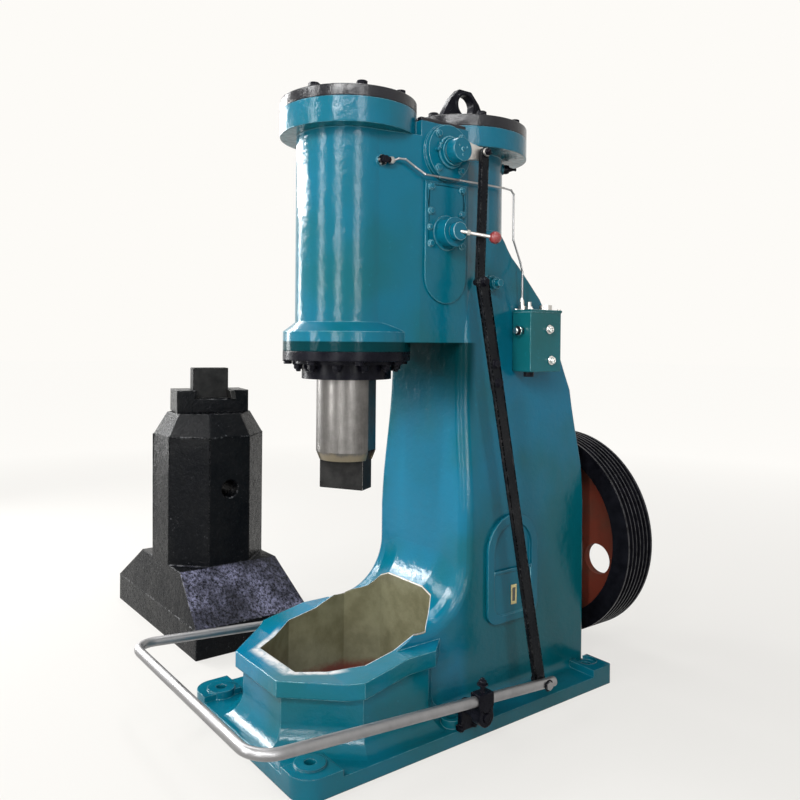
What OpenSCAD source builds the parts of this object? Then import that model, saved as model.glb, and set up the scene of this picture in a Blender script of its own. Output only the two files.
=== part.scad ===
// Two-piece pneumatic forging hammer: frame, cylinders, valves, treadle linkage,
// lubricator, flywheel and the separate anvil standing beside it. Millimetres, +Z up,
// +Y to the back, +X to the valve and linkage side.
// Origin: centre of the four corner foundation bolt holes, on the floor.

/* [Base] */
// Foundation bolt spacing across the machine
bolt_pitch_x = 515; // [440:5:600]
// Foundation bolt spacing front to back
bolt_pitch_y = 1066; // [920:2:1240]
// Radius of the foundation bolt holes
bolt_hole_r = 15; // [10:1:20]
// Thickness of the base flange between the pads
base_t = 38; // [28:1:48]
// Height of the corner pads
pad_h = 60; // [50:1:80]
// Bolt centre to the side edge of the base
side_margin = 71; // [56:1:84]
// Bolt centre to the front edge of the base
front_margin = 67; // [55:1:80]
// Bolt centre to the back edge of the base
back_margin = 41; // [34:1:60]

/* [Collar] */
// Half width of the collar rim, side to side
collar_hx = 277; // [250:1:300]
// Half length of the collar rim, front to back
collar_hy = 294; // [270:1:320]
// Height of the collar rim above the floor
collar_h = 217; // [180:1:260]
// Depth of the rim band
rim_t = 44; // [30:1:60]
// Half width of the anvil pocket
pocket_hx = 206; // [185:1:220]
// Half length of the anvil pocket
pocket_hy = 226; // [205:1:240]

/* [Frame] */
// Ram axis to the face of the column
throat = 295; // [250:1:340]
// Ram axis to compressor cylinder axis
cyl_pitch = 442; // [430:1:500]
// Width of the column at its foot
col_w_foot = 434; // [400:2:480]
// Width of the column at the head
col_w_head = 368; // [350:2:400]
// Height of the underside of the head
head_z = 1078; // [980:1:1150]
// Height of the underside of the top flanges
top_z = 1700; // [1640:1:1900]
// Outer radius of the ram cylinder
cyl_r = 153; // [140:1:165]
// Outer radius of the compressor cylinder
comp_r = 139; // [125:1:160]
// Radius of the ram cylinder top flange
flange_r = 201; // [185:1:206]
// Radius of the compressor cylinder top flange
comp_flange_r = 216; // [190:1:222]

/* [Ram and dies] */
// Radius of the ram
ram_r = 88; // [70:1:95]
// Height of the lower end of the ram at its lowest
ram_low_z = 761; // [700:1:800]
// Ram stroke kept clear below the gland
ram_stroke = 220; // [150:5:230]
// Length of a die face
die_l = 140; // [110:1:160]
// Width of a die face
die_w = 62; // [50:1:75]
// Height of a die outside its holder
die_h = 86; // [60:1:100]
// Turn of the dies from the cross axis
die_turn = 30; // [0:1:45]

/* [Valves and linkage] */
// Height of the upper valve axis
valve_up_z = 1661; // [1640:1:1680]
// Height of the lower valve axis
valve_low_z = 1427; // [1380:1:1460]
// Length of the valve lever
lever_l = 79; // [66:1:90]
// Outside radius of the treadle tube
tube_r = 14; // [11:0.5:17]
// Half width of the treadle, arm to arm
treadle_hx = 391; // [365:1:450]
// Front bar of the treadle, distance in front of the base
treadle_reach = 158; // [110:1:190]
// Height of the treadle front bar
treadle_front_z = 194; // [170:1:230]
// Height of the treadle pivot
pivot_z = 98; // [92:1:104]

/* [Flywheel] */
// Height of the crankshaft axis
crank_z = 428; // [400:1:470]
// Radius of the flywheel
wheel_r = 356; // [300:1:380]
// Width of the flywheel rim
wheel_w = 130; // [100:1:150]
// Number of belt grooves
grooves = 6; // [4:1:8]

/* [Anvil] */
// Anvil centre, across
anvil_x = -1010; // [-1200:5:-900]
// Anvil centre, front to back
anvil_y = -243; // [-400:1:0]
// Width of the anvil body across its flats
anvil_af = 396; // [340:1:400]
// Height of the anvil body shoulder
anvil_h = 737; // [600:1:850]

/* [Hidden] */
$fn = 96;
teal = [0.05, 0.40, 0.50];
black = [0.06, 0.06, 0.07];
steel = [0.66, 0.66, 0.64];

base_hx = bolt_pitch_x / 2 + side_margin;
base_front = -bolt_pitch_y / 2 - front_margin;
base_back = bolt_pitch_y / 2 + back_margin;
ram_y = base_front + 340;
comp_y = ram_y + cyl_pitch;
col_y = ram_y + throat;
col_back = base_back - 10;
mid_x = bolt_pitch_x / 2 + 29.5;
mid_y = ram_y + 170;

// collar, sweep and column
rim_rise = 35;
sweep_r = 160;
sweep_z = collar_h + rim_rise;
corner_r = 36;
corner_n = 6;
col_lean = 15;
foot_y = col_y - col_lean;
sweep_y = foot_y - sweep_r;
sweep_low = sweep_z + 38;
hump_h = 30;
hump_x = 85;
hump_a = 22;
foot_r = 64;
neck_a = 42.05;
neck_d = 265;
core_hx = col_w_foot / 2 - 37;
top_of_sweep = sweep_low + sweep_r;
split_z = 560;

// column: half width at height z, a wide foot eased in to the narrower head, and the line of its back
neck_z = 1000;
chest_z = 1230;
col_top = 1460;
function ease(t) = (1 - cos(180 * t)) / 2;
function col_hw(z) = z < split_z ? col_w_foot / 2
    : z < neck_z ? (col_w_foot - (col_w_foot - col_w_head) * ease((z - split_z) / (neck_z - split_z))) / 2
    : lookup(z, [[neck_z, col_w_head / 2], [head_z + 52, col_w_head / 2], [chest_z, chest_hx],
        [col_top, comp_r + 6]]);
col_zs = concat([0], [for (i = [0 : 8]) split_z + (neck_z - split_z) * i / 8],
    [head_z + 52, chest_z, col_top]);
rev_zs = [for (i = [len(col_zs) - 1 : -1 : 0]) col_zs[i]];
function col_front(z) = lookup(z, [[split_z, foot_y], [neck_z, col_y]]);
back_line = [[comp_y + 40, col_top], [comp_y + 62, 1425], [comp_y + 72, 1404], [comp_y + 88, 1379],
    [comp_y + 118, 1348], [comp_y + 155, 1305], [comp_y + 201, 1249], [comp_y + 272, 1100],
    [comp_y + 341, 950], [col_back - 10, 700], [col_back, 150], [col_back + 7, pad_h],
    [col_back + 7, base_t - 5]];

// head: ram flange, web, valve chest
gland_t = 27;
gland_r = 188;
gland_bolt_r = gland_r - 13.5;
gland_z = head_z - gland_t;
ring_h = 53;
under_z = head_z + 26;
ram_l = ram_stroke + 489;
shoulder_z = head_z + 83;
flange_t = 70;
cover_t = 33;
comp_flange_t = 61;
comp_cover_t = 36;
valve_y = ram_y + 0.511 * cyl_pitch;
chest_hx = 176;
chest_hy = 92;
chest_top = valve_up_z + 84;
boss_x = chest_hx + 8;
disc_r = 80;
disc_t = 12;
plate_t = 7;
plate_hw = 80;
plate_z = valve_low_z - 127;
plate_top = valve_up_z - 87;
ring_r = 43;
plug_y = comp_y - 26;
plug_z = 1290;
plug_x = 186;
nipple_z = top_z - 21;
eye_y = comp_y + 12;
eye_t = 24;

// lubricator and its pipe
lub_y = comp_y + 63;
lub_z = 1017;
lub_h = 186;
lub_l = 140;
lub_x = col_w_head / 2;
lub_w = 78;
elbow_x = cyl_r + 5;
elbow_y = ram_y + 6;
elbow_z = valve_up_z - 47;
pipe_r = 3;
pipe_z = valve_up_z - disc_r + 3;
drop_x = comp_r;
drop_y = comp_y + 111;
lub_in = [lub_x + 22, lub_y + 20, lub_z + lub_h + 34];

// valve lever and link
lever_x = 246;
hub_x = 214;
link_t = 12;
link_w = 27;
link_x = lever_x + 4;
joint_z = 1283;
hand_dx = 50;
hand_dy = 81;
hand_dz = -15;
knob_r = 18;
stub_x = chest_hx + 69;
hand_end = [stub_x - 5 + hand_dx, hand_dy, hand_dz];
hand_dir = hand_end - [stub_x - 5, 0, 0];

// treadle
arm_y = 206;
arm_z = 119;
pivot_y = ram_y + 188;
front_y = base_front - treadle_reach;
arm_drop = (treadle_front_z - arm_z) / (arm_y - front_y);
pivot_arm_z = treadle_front_z - arm_drop * (pivot_y - front_y);
bend_r = 70;
link_low_x = treadle_hx - tube_r - 8;
link_low_y = arm_y - 28;
link_low_z = treadle_front_z - arm_drop * (link_low_y - front_y) - 1;
lever_py = valve_y + lever_l;
link_top = [link_x + link_t / 2, lever_py, valve_up_z];
link_elbow = [link_top[0], lever_py - 12.5, joint_z];
link_mid = [link_top[0] + link_t / 2 + 6.9, link_elbow[1], joint_z];
link_end = [link_low_x, link_low_y, link_low_z];
link_d = link_end - link_mid;

// drive
shaft_r = 34;
wheel_y0 = base_back + 45;
ic_y = 216;

// anvil, sow block and lower die
anvil_turn = 77;
sow_z = anvil_h + 86;
sow_h = 88;
slot_d = 34;
die_root = die_l / 2 - 8;

// a plan drawn in YZ and run along X, centred
module along_x(l) { rotate([90, 0, 90]) linear_extrude(l, center = true) children(); }
// a plan drawn in XZ and run along Y, from y0 to y1
module along_y(y0, y1) {
    translate([0, y1, 0]) rotate([90, 0, 0]) linear_extrude(y1 - y0) children();
}
module xcyl(r, x0, x1) { translate([x0, 0, 0]) rotate([0, 90, 0]) cylinder(r = r, h = x1 - x0); }
module ycyl(r, y0, y1) { translate([0, y0, 0]) rotate([-90, 0, 0]) cylinder(r = r, h = y1 - y0); }
module round_rect(x0, x1, y0, y1, r) {
    translate([x0 + r, y0]) square([x1 - x0 - 2 * r, y1 - y0]);
    translate([x0, y0 + r]) square([x1 - x0, y1 - y0 - 2 * r]);
    for (x = [x0 + r, x1 - r], y = [y0 + r, y1 - r]) translate([x, y]) circle(r);
}
// round bar between two points
module rod(a, b, r) {
    d = b - a;
    translate(a) rotate([0, acos(d[2] / norm(d)), atan2(d[1], d[0])]) cylinder(r = r, h = norm(d));
}
module pipe(pts, r) {
    for (i = [0 : len(pts) - 2]) rod(pts[i], pts[i + 1], r);
    for (i = [1 : len(pts) - 2]) translate(pts[i]) sphere(r + 0.8);
}
module eight(hx, hy, fx, fy) {
    polygon([[-fx, -hy], [fx, -hy], [hx, -fy], [hx, fy], [fx, hy], [-fx, hy], [-hx, fy], [-hx, -fy]]);
}

module pocket_plan() {
    polygon([[-100, -pocket_hy], [100, -pocket_hy], [pocket_hx, -70], [pocket_hx, 138],
        [125, pocket_hy], [-125, pocket_hy], [-pocket_hx, 138], [-pocket_hx, -70]]);
}

module base_plan(r) { round_rect(-base_hx, base_hx, base_front, base_back, r); }
module base_flange() {
    linear_extrude(base_t) base_plan(60);
    for (sx = [-1, 1]) {
        translate([sx * bolt_pitch_x / 2, -bolt_pitch_y / 2, 0]) cylinder(r = 41, h = pad_h);
        intersection() {
            linear_extrude(pad_h - 5) base_plan(60);
            translate([sx * (base_hx - 50), base_front + 60, pad_h / 2])
                cube([100, 120, pad_h], center = true);
        }
        intersection() {
            linear_extrude(pad_h) base_plan(12);
            translate([sx * (base_hx - 50), base_back - 45, pad_h / 2]) cube([100, 90, pad_h], center = true);
        }
        translate([sx * mid_x, mid_y, 0]) cylinder(r = 30, h = pad_h);
    }
}

// straight-sided taper between two eight-sided plans, from half sizes ha to hb
module taper(z0, z1, ax, ay, bx, by) {
    intersection() {
        along_x(2 * ax) polygon([[-ay, z0], [-by, z1], [by, z1], [ay, z0]]);
        along_y(-2 * ay, 2 * ay) polygon([[-ax, z0], [-bx, z1], [bx, z1], [ax, z0]]);
    }
}
module rim_band() {
    a = -collar_hy + 140;
    b = -collar_hy + 320;
    c = collar_hy;
    polygon([[-c - 1, collar_h - rim_t], [a, collar_h - rim_t], [b, collar_h + rim_rise - rim_t],
        [c, collar_h + rim_rise - rim_t], [c, collar_h + rim_rise], [b, collar_h + rim_rise],
        [a, collar_h], [-c - 1, collar_h]]);
}
// body of half width d along Y, whose foot is rounded out by r
module flank(d, r) {
    along_y(-600, 600) difference() {
        translate([-d - r, base_t - 1]) square([2 * (d + r), r]);
        for (s = [-1, 1]) translate([s * (d + r), base_t + r - 1.5]) circle(r);
    }
}
module collar() {
    translate([0, ram_y, 0]) {
        intersection() {
            linear_extrude(collar_h + rim_rise) eight(collar_hx - 20, collar_hy - 20, 110, 111);
            along_x(900) polygon([[-collar_hy, 0], [-collar_hy, collar_h - 2],
                [-collar_hy + 140, collar_h - 2], [-collar_hy + 320, collar_h + rim_rise - 2],
                [collar_hy, collar_h + rim_rise - 2], [collar_hy, 0]]);
        }
        intersection() {
            linear_extrude(collar_h + rim_rise) eight(collar_hx, collar_hy, 119, 120);
            along_x(900) rim_band();
        }
        // foot of the collar, rounded out to the base flange on all eight sides
        intersection() {
            flank(collar_hx - 20, foot_r);
            rotate(90) flank(collar_hy - 20, foot_r);
            rotate(neck_a) flank(neck_d, foot_r);
            rotate(-neck_a) flank(neck_d, foot_r);
        }
    }
}

// plane that rounds the front corners, leaning by a from the side face
module corner_plane(a) {
    rotate(-a) along_y(-700, 1400) polygon(concat([[-900, 0]],
        [for (z = col_zs) [(col_hw(z) - corner_r) * cos(a) + corner_r
            - (col_front(z) + corner_r) * sin(a), z]], [[-900, col_top]]));
}
// the same rounding carried round the sweep at the foot of the column
module corner_sweep() {
    q = corner_r / cos(45 / corner_n);
    translate([0, sweep_y, top_of_sweep]) rotate([0, 90, 0]) rotate_extrude($fn = 144)
        polygon(concat([[sweep_r - 1, col_w_foot / 2 + 1], [sweep_r - 1, col_w_foot / 2 - corner_r]],
            [for (k = [corner_n - 1 : -1 : 0]) [sweep_r + corner_r - q * sin((k + 0.5) * 90 / corner_n),
                col_w_foot / 2 - corner_r + q * cos((k + 0.5) * 90 / corner_n)]],
            [[sweep_r + corner_r, col_w_foot / 2 + 1]]));
}
module column_sides() {
    along_y(-400, base_back + 20) polygon(concat([for (z = col_zs) [col_hw(z), z]],
        [for (z = rev_zs) [-col_hw(z), z]]));
}
module sweep() {
    // foot, swept forward to the collar; it stands higher over the back of the pocket
    difference() {
        intersection() {
            union() {
                along_x(col_w_foot) difference() {
                    polygon([[ram_y + 26, base_t - 5], [ram_y + 26, sweep_z], [sweep_y, sweep_low],
                        [sweep_y, top_of_sweep], [foot_y + 60, top_of_sweep], [foot_y + 60, base_t - 5]]);
                    translate([sweep_y, top_of_sweep]) circle(sweep_r, $fn = 144);
                }
                intersection() {
                    hump_side(0);
                    hump_side(hump_a);
                    mirror([1, 0, 0]) hump_side(hump_a);
                }
            }
            translate([-col_w_foot / 2, ram_y, 0]) cube([col_w_foot, 400, 700]);
        }
        corner_sweep();
        mirror([1, 0, 0]) corner_sweep();
    }
}
module hump_side(a) {
    crest = sweep_low + 70;
    top = top_of_sweep + hump_h;
    translate([hump_x, 0, crest]) rotate([0, a, 0]) translate([0, 0, -crest]) along_x(900) difference() {
        polygon([[sweep_y + 60, base_t + 20], [sweep_y + 60, top], [foot_y + 30, top],
            [foot_y + 30, base_t + 20]]);
        translate([sweep_y + 0.7, top]) circle(sweep_r, $fn = 144);
    }
}
// the part of the column from z0 to z1
module column(z0, z1) {
    intersection() {
        along_x(600) polygon(concat([[foot_y + 59, base_t - 5], [foot_y + 59, top_of_sweep],
            [foot_y, top_of_sweep]], [for (z = col_zs) if (z > top_of_sweep) [col_front(z), z]],
            back_line));
        column_sides();
        intersection_for(k = [1 : corner_n - 1]) intersection() {
            corner_plane(k * 90 / corner_n);
            mirror([1, 0, 0]) corner_plane(k * 90 / corner_n);
        }
        translate([0, 0, z0]) linear_extrude(z1 - z0) {
            round_rect(-col_w_foot / 2, col_w_foot / 2, foot_y, col_back + 7, 18);
            translate([-col_w_foot / 2, foot_y]) square([col_w_foot, 200]);
        }
    }
}

module both_sides() {
    children();
    mirror([1, 0, 0]) children();
}
module head() {
    // flange under the ram cylinder, with its sloped shoulder
    translate([0, ram_y, 0]) {
        translate([0, 0, head_z]) cylinder(r = gland_r, h = 56);
        translate([0, 0, head_z + 56]) cylinder(r1 = gland_r, r2 = cyl_r, h = shoulder_z - head_z - 56);
    }
    // cylinders and the web between them
    translate([0, ram_y, head_z]) cylinder(r = cyl_r, h = top_z - head_z + 1);
    translate([0, comp_y, 1300]) cylinder(r = comp_r, h = top_z - 1299);
    translate([0, 0, under_z]) linear_extrude(top_z - under_z + 1) polygon([[-cyl_r, ram_y], [cyl_r, ram_y],
        [chest_hx, valve_y - chest_hy], [chest_hx, valve_y + chest_hy], [comp_r, comp_y], [-comp_r, comp_y],
        [-chest_hx, valve_y + chest_hy], [-chest_hx, valve_y - chest_hy]]);
    translate([0, ram_y, top_z]) cylinder(r = flange_r, h = flange_t);
    translate([0, comp_y, top_z]) cylinder(r = comp_flange_r, h = comp_flange_t);
    // top of the valve chest, between the two flanges
    difference() {
        translate([-chest_hx, valve_y - chest_hy, top_z - 1])
            cube([2 * chest_hx, 2 * chest_hy, chest_top - top_z + 1]);
        translate([0, ram_y, top_z + 0.5]) cylinder(r = flange_r - 2, h = 200);
        translate([0, comp_y, top_z + 0.5]) cylinder(r = comp_flange_r - 2, h = 200);
    }
    both_sides() {
        translate([0, valve_y, valve_up_z]) xcyl(disc_r + 3, chest_hx - 1, boss_x);
        translate([0, valve_y, valve_low_z]) xcyl(ring_r + 6, chest_hx - 1, chest_hx + 2);
    }
    // small bosses for the oil connection, the plug and the grease nipple
    translate([0, elbow_y, elbow_z]) xcyl(15, 100, elbow_x);
    translate([0, plug_y, plug_z]) xcyl(24, 120, plug_x);
    translate([0, comp_y, nipple_z]) rotate([0, 90, 56]) cylinder(r = 18, h = comp_r + 6);
}

// crankcase, shaft bore and the bores of the two cylinders
module inside() {
    translate([-core_hx, col_y + 35, 70]) cube([2 * core_hx, col_back - col_y - 100, split_z - 70]);
    translate([-core_hx + 35, col_y + 35, split_z - 1]) cube([2 * core_hx - 70, col_back - col_y - 190, 441]);
    translate([0, 400, crank_z]) ycyl(60, 0, 300);
    translate([0, comp_y, 600]) cylinder(r = comp_r - 24, h = top_z + comp_flange_t - 599);
    translate([0, ram_y, head_z - 1]) cylinder(r = ram_r + 14, h = top_z + flange_t - head_z + 3);
}
// The casting of base, column and cylinders, in three pieces that meet face to face
module base_casting() {
    color(teal) difference() {
        union() {
            base_flange();
            collar();
            sweep();
            column(0, split_z);
            // foot of the column, rounded out to the base flange
            intersection() {
                flank(col_w_foot / 2, 30);
                translate([-400, ram_y + 200, 0]) cube([800, col_back - ram_y - 260, 200]);
            }
            // crank bearing face at the back
            translate([0, col_back - 30, crank_z]) ycyl(120, 0, 42);
        }
        // anvil pocket, right through
        translate([0, ram_y, -1]) linear_extrude(700) pocket_plan();
        for (sx = [-1, 1]) {
            for (sy = [-1, 1]) translate([sx * bolt_pitch_x / 2, sy * bolt_pitch_y / 2, -1])
                cylinder(r = bolt_hole_r, h = pad_h + 2);
            translate([sx * bolt_pitch_x / 2, bolt_pitch_y / 2, pad_h - 12]) cylinder(r = 34, h = 20);
            translate([sx * mid_x, mid_y, pad_h]) cylinder(r = 34, h = 64);
            translate([sx * mid_x, mid_y, pad_h + 63.9]) cylinder(r1 = 34, r2 = 12, h = 30);
            translate([sx * mid_x, mid_y, -1]) cylinder(r = bolt_hole_r, h = pad_h + 2);
        }
        inside();
    }
}
module column_casting() {
    color(teal) difference() {
        column(split_z, under_z);
        inside();
    }
}
module cylinder_block() {
    color(teal) difference() {
        union() {
            column(under_z, col_top);
            head();
        }
        inside();
        // valve bores
        for (z = [valve_up_z, valve_low_z]) translate([0, valve_y, z]) xcyl(32, -300, 300);
    }
}
module bolt_ring(r, n, hole, t, a0 = 0) {
    for (i = [0 : n - 1]) rotate(a0 + i * 360 / n) translate([r, 0, -1])
        cylinder(r = hole, h = t + 2, $fn = 32);
}

module front_cylinder_cover() {
    color(black) translate([0, ram_y, top_z + flange_t]) difference() {
        union() {
            cylinder(r = flange_r, h = cover_t);
            cylinder(r = 38, h = cover_t + 3);
        }
        bolt_ring(flange_r - 26, 8, 9, cover_t, 22.5);
        translate([0, 0, cover_t - 20]) cylinder(r = 20, h = 40);
    }
}
module front_cover_plug() {
    color(black) translate([0, ram_y, top_z + flange_t + cover_t - 20]) {
        cylinder(r = 19.9, h = 23);
        translate([0, 0, 23]) cylinder(r = 27, h = 6);
        translate([0, 0, 29]) cylinder(r = 21, h = 12, $fn = 6);
    }
}
module rear_cylinder_cover() {
    color(black) translate([0, comp_y, top_z + comp_flange_t]) difference() {
        cylinder(r = comp_flange_r, h = comp_cover_t);
        bolt_ring(comp_flange_r - 26, 8, 9, comp_cover_t, 22.5);
    }
}
module lifting_eye() {
    color(black) translate([0, eye_y, top_z + comp_flange_t + comp_cover_t]) {
        difference() {
            union() {
                along_x(eye_t) difference() {
                    polygon([[-106, 0], [-95, 46], [-62, 103], [-27, 138], [27, 138], [62, 103],
                        [95, 46], [106, 0]]);
                    translate([0, 88]) circle(34);
                }
                translate([0, 0, 88]) difference() {
                    xcyl(43, -eye_t / 2 - 5, eye_t / 2 + 5);
                    xcyl(34, -50, 50);
                }
                translate([-48, -112, 0]) cube([96, 224, 10]);
            }
            for (x = [-32, 32], y = [-84, 84]) translate([x, y, -1]) cylinder(r = 9, h = 20, $fn = 32);
        }
    }
}
module valve_chest_cover() {
    color(black) difference() {
        translate([-chest_hx + 2, valve_y - chest_hy, chest_top]) cube([2 * chest_hx - 4, 2 * chest_hy, 11]);
        translate([0, ram_y, chest_top - 1]) cylinder(r = flange_r + 4, h = 30);
        translate([0, comp_y, chest_top - 1]) cylinder(r = comp_flange_r + 4, h = 30);
    }
}
module gland_plate() {
    color(black) difference() {
        translate([0, ram_y, gland_z]) cylinder(r = gland_r, h = gland_t);
        translate([0, ram_y, gland_z - 1]) cylinder(r = ram_r + 14, h = gland_t + 2);
        translate([0, ram_y, gland_z]) bolt_ring(gland_bolt_r, 8, 8, gland_t, 22.5);
    }
}
module gland_ring() {
    color(black) difference() {
        union() {
            translate([0, ram_y, gland_z - 10]) cylinder(r = 161, h = 10);
            translate([0, ram_y, gland_z - ring_h]) cylinder(r = 132, h = ring_h - 9);
            translate([0, ram_y, gland_z]) cylinder(r = ram_r + 13.9, h = gland_t + 60);
        }
        translate([0, ram_y, gland_z - ring_h - 1]) cylinder(r = ram_r + 0.1, h = 400);
    }
}
module ram() {
    color(steel) difference() {
        translate([0, ram_y, ram_low_z]) {
            cylinder(r1 = ram_r - 10, r2 = ram_r, h = 25);
            translate([0, 0, 25]) cylinder(r = ram_r, h = ram_l - 69);
            translate([0, 0, ram_l - 44]) cylinder(r = ram_r + 13.9, h = 24);
            translate([0, 0, ram_l - 20]) cylinder(r = ram_r, h = 20);
        }
        // flats that keep the ram from turning
        translate([0, ram_y, ram_low_z - 1]) rotate(die_turn) for (s = [-1, 1])
            translate([s * (ram_r + 16), 0, (ram_l - 69) / 2]) cube([40, 80, ram_l - 67], center = true);
        // dovetail for the die
        translate([0, ram_y, ram_low_z]) rotate(die_turn) along_x(300)
            polygon([[-21, -1], [21, -1], [27, 30], [-27, 30]]);
        // hollow inside of the ram, which keeps the falling weight down
        translate([0, ram_y, ram_low_z + 80]) cylinder(r = 58, h = ram_l);
    }
}
module upper_die() {
    color([0.13, 0.13, 0.13]) translate([0, ram_y, ram_low_z]) rotate(die_turn) {
        translate([-die_l / 2, -die_w / 2, -die_h]) cube([die_l, die_w, die_h]);
        along_x(die_l) polygon([[-20.7, 0], [20.7, 0], [26.7, 29.7], [-26.7, 29.7]]);
    }
}
module valve_flange() {
    difference() {
        union() {
            xcyl(disc_r, 0, disc_t);
            xcyl(40, 0, hub_x - boss_x - 0.4);
        }
        for (a = [-48, 48, 132, 228]) rotate([a, 0, 0]) translate([-1, 66, 0]) rotate([0, 90, 0])
            cylinder(r = 6, h = 30, $fn = 32);
    }
}
module upper_valve_flange() {
    color(teal) translate([boss_x, valve_y, valve_up_z]) difference() {
        valve_flange();
        xcyl(22.1, -1, 50);
    }
}
module upper_valve_cap_left() {
    color(teal) translate([-boss_x, valve_y, valve_up_z]) mirror([1, 0, 0]) valve_flange();
}
module upper_valve_lever() {
    color(steel) translate([0, valve_y, valve_up_z]) {
        xcyl(22, -chest_hx + 10, hub_x + 1);
        xcyl(33, hub_x, lever_x + 6);
        translate([lever_x - 9, 0, 0]) along_x(18)
            polygon([[0, -30], [lever_l, -17], [lever_l, 17], [0, 30]]);
        translate([0, lever_l, 0]) {
            xcyl(19, lever_x - 18, lever_x);
            xcyl(8, lever_x - 1, link_x + link_t + 3);
            xcyl(12, link_x + link_t + 2, link_x + link_t + 8);
        }
    }
}
module side_plate(t) {
    difference() {
        union() {
            translate([0, -plate_hw, 0]) cube([t, 2 * plate_hw, plate_top - plate_z]);
            xcyl(plate_hw, 0, t);
        }
        translate([0, 0, valve_low_z - plate_z]) xcyl(ring_r + 8, -1, t + 1);
        for (y = [-60, 60], z = [valve_low_z - 34, valve_low_z + 60, plate_top - 16])
            translate([-1, y, z - plate_z]) rotate([0, 90, 0])
                cylinder(r = 6, h = t + 2, $fn = 32);
    }
}
module valve_side_plate() {
    color(teal) translate([chest_hx, valve_y, plate_z]) side_plate(plate_t);
}
module valve_side_plate_left() {
    color(teal) translate([-chest_hx, valve_y, plate_z]) mirror([1, 0, 0]) side_plate(plate_t);
}
module lower_ring(cap) {
    difference() {
        xcyl(ring_r, 0, 46);
        if (!cap) xcyl(20.1, -1, 60);
    }
}
module lower_valve_ring() {
    color(teal) translate([chest_hx + 2, valve_y, valve_low_z]) lower_ring(false);
}
module lower_valve_cap_left() {
    color(teal) translate([-chest_hx - 2, valve_y, valve_low_z]) mirror([1, 0, 0]) lower_ring(true);
}
module hand_lever() {
    color(steel) translate([0, valve_y, valve_low_z]) {
        xcyl(20, -chest_hx + 10, stub_x - 20);
        xcyl(26, chest_hx + 48.4, stub_x);
        rod([stub_x - 5, 0, 0], hand_end, 5);
    }
}
module hand_lever_knob() {
    color([0.7, 0.1, 0.1]) translate([0, valve_y, valve_low_z]) difference() {
        translate(hand_end + hand_dir * (knob_r - 8) / norm(hand_dir)) sphere(knob_r);
        rod([stub_x - 5, 0, 0], hand_end, 5.05);
    }
}
module bar(a, b, w, t) {
    d = b - a;
    translate(a) rotate([0, atan2(d[0], d[2]), 0])
        rotate([atan2(-d[1], norm([d[0], d[2]])), 0, 0]) translate([-t / 2, -w / 2, 0]) cube([t, w, norm(d)]);
}
module link_eye(p) {
    translate([p[0] - link_t / 2, p[1], p[2]]) xcyl(link_w / 2 + 1, -0.5, link_t + 0.5);
}
module link_upper() {
    color(black) difference() {
        union() {
            bar(link_elbow, link_top, link_w, link_t);
            link_eye(link_top);
            bar(link_elbow + link_d * 0.27, link_elbow, link_w - 3, link_t - 2);
            link_eye(link_elbow);
        }
        translate([link_top[0] - 20, link_top[1], link_top[2]]) xcyl(8.6, 0, 40);
    }
}
module link_lower() {
    color(black) difference() {
        union() {
            bar(link_end, link_mid, 36, link_t);
            translate([link_end[0] - 6, link_end[1], link_end[2]]) xcyl(18, 0, 12);
            translate([link_mid[0] - 6, link_mid[1], link_mid[2]]) xcyl(18, 0, 12);
        }
        translate([link_end[0] - 20, link_end[1], link_end[2]]) xcyl(8.1, 0, 40);
    }
}
module treadle() {
    tilt = atan(arm_drop);
    al = (arm_y + 10 - front_y) / cos(tilt);
    color(steel) translate([0, front_y, treadle_front_z]) rotate([-tilt, 0, 0]) {
        for (s = [-1, 1]) {
            translate([s * treadle_hx, bend_r, 0]) rotate([-90, 0, 0]) cylinder(r = tube_r, h = al - bend_r);
            translate([s * (treadle_hx - bend_r), bend_r, 0]) rotate(s > 0 ? -90 : 180)
                rotate_extrude(angle = 90) translate([bend_r, 0]) circle(tube_r);
        }
        xcyl(tube_r, -treadle_hx + bend_r, treadle_hx - bend_r);
    }
    // pin through the right arm for the link
    color(black) translate([0, link_end[1], link_end[2]]) {
        xcyl(8, link_low_x - 9, treadle_hx + tube_r + 4);
        xcyl(13, treadle_hx + tube_r - 1, treadle_hx + tube_r + 8, $fn = 6);
    }
}
module clamp_block() {
    translate([0, pivot_y, 0]) difference() {
        union() {
            translate([-18, -27, pivot_arm_z - 16]) cube([36, 54, 38]);
            translate([-18, -24, pivot_z]) cube([36, 48, pivot_arm_z - pivot_z]);
            translate([0, 0, pivot_z]) xcyl(26, -18, 18);
            translate([0, 0, pivot_arm_z + 20]) cylinder(r = 6, h = 26, $fn = 32);
            translate([0, 0, pivot_arm_z + 44]) cylinder(r = 12, h = 9, $fn = 6);
        }
        translate([0, 0, pivot_arm_z]) rotate([-atan(arm_drop), 0, 0]) ycyl(tube_r + 0.1, -60, 60);
        translate([0, 0, pivot_z]) xcyl(12.1, -40, 40);
    }
}
module treadle_clamp_right() { color(black) translate([treadle_hx, 0, 0]) clamp_block(); }
module treadle_clamp_left() { color(black) translate([-treadle_hx, 0, 0]) clamp_block(); }
module bracket() {
    translate([0, pivot_y, 0]) {
        translate([base_hx - 10, -30, base_t]) cube([16, 60, 14]);
        translate([base_hx - 10, -22, base_t + 5]) cube([16, 44, pivot_z - base_t - 5]);
        translate([0, 0, pivot_z]) {
            xcyl(22, base_hx - 10, base_hx + 6);
            xcyl(17, base_hx + 5, treadle_hx - 18.4);
            xcyl(12, base_hx + 5, treadle_hx + 22);
        }
    }
}
module pivot_bracket_right() { color(black) bracket(); }
module pivot_bracket_left() { color(black) mirror([1, 0, 0]) bracket(); }

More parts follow.
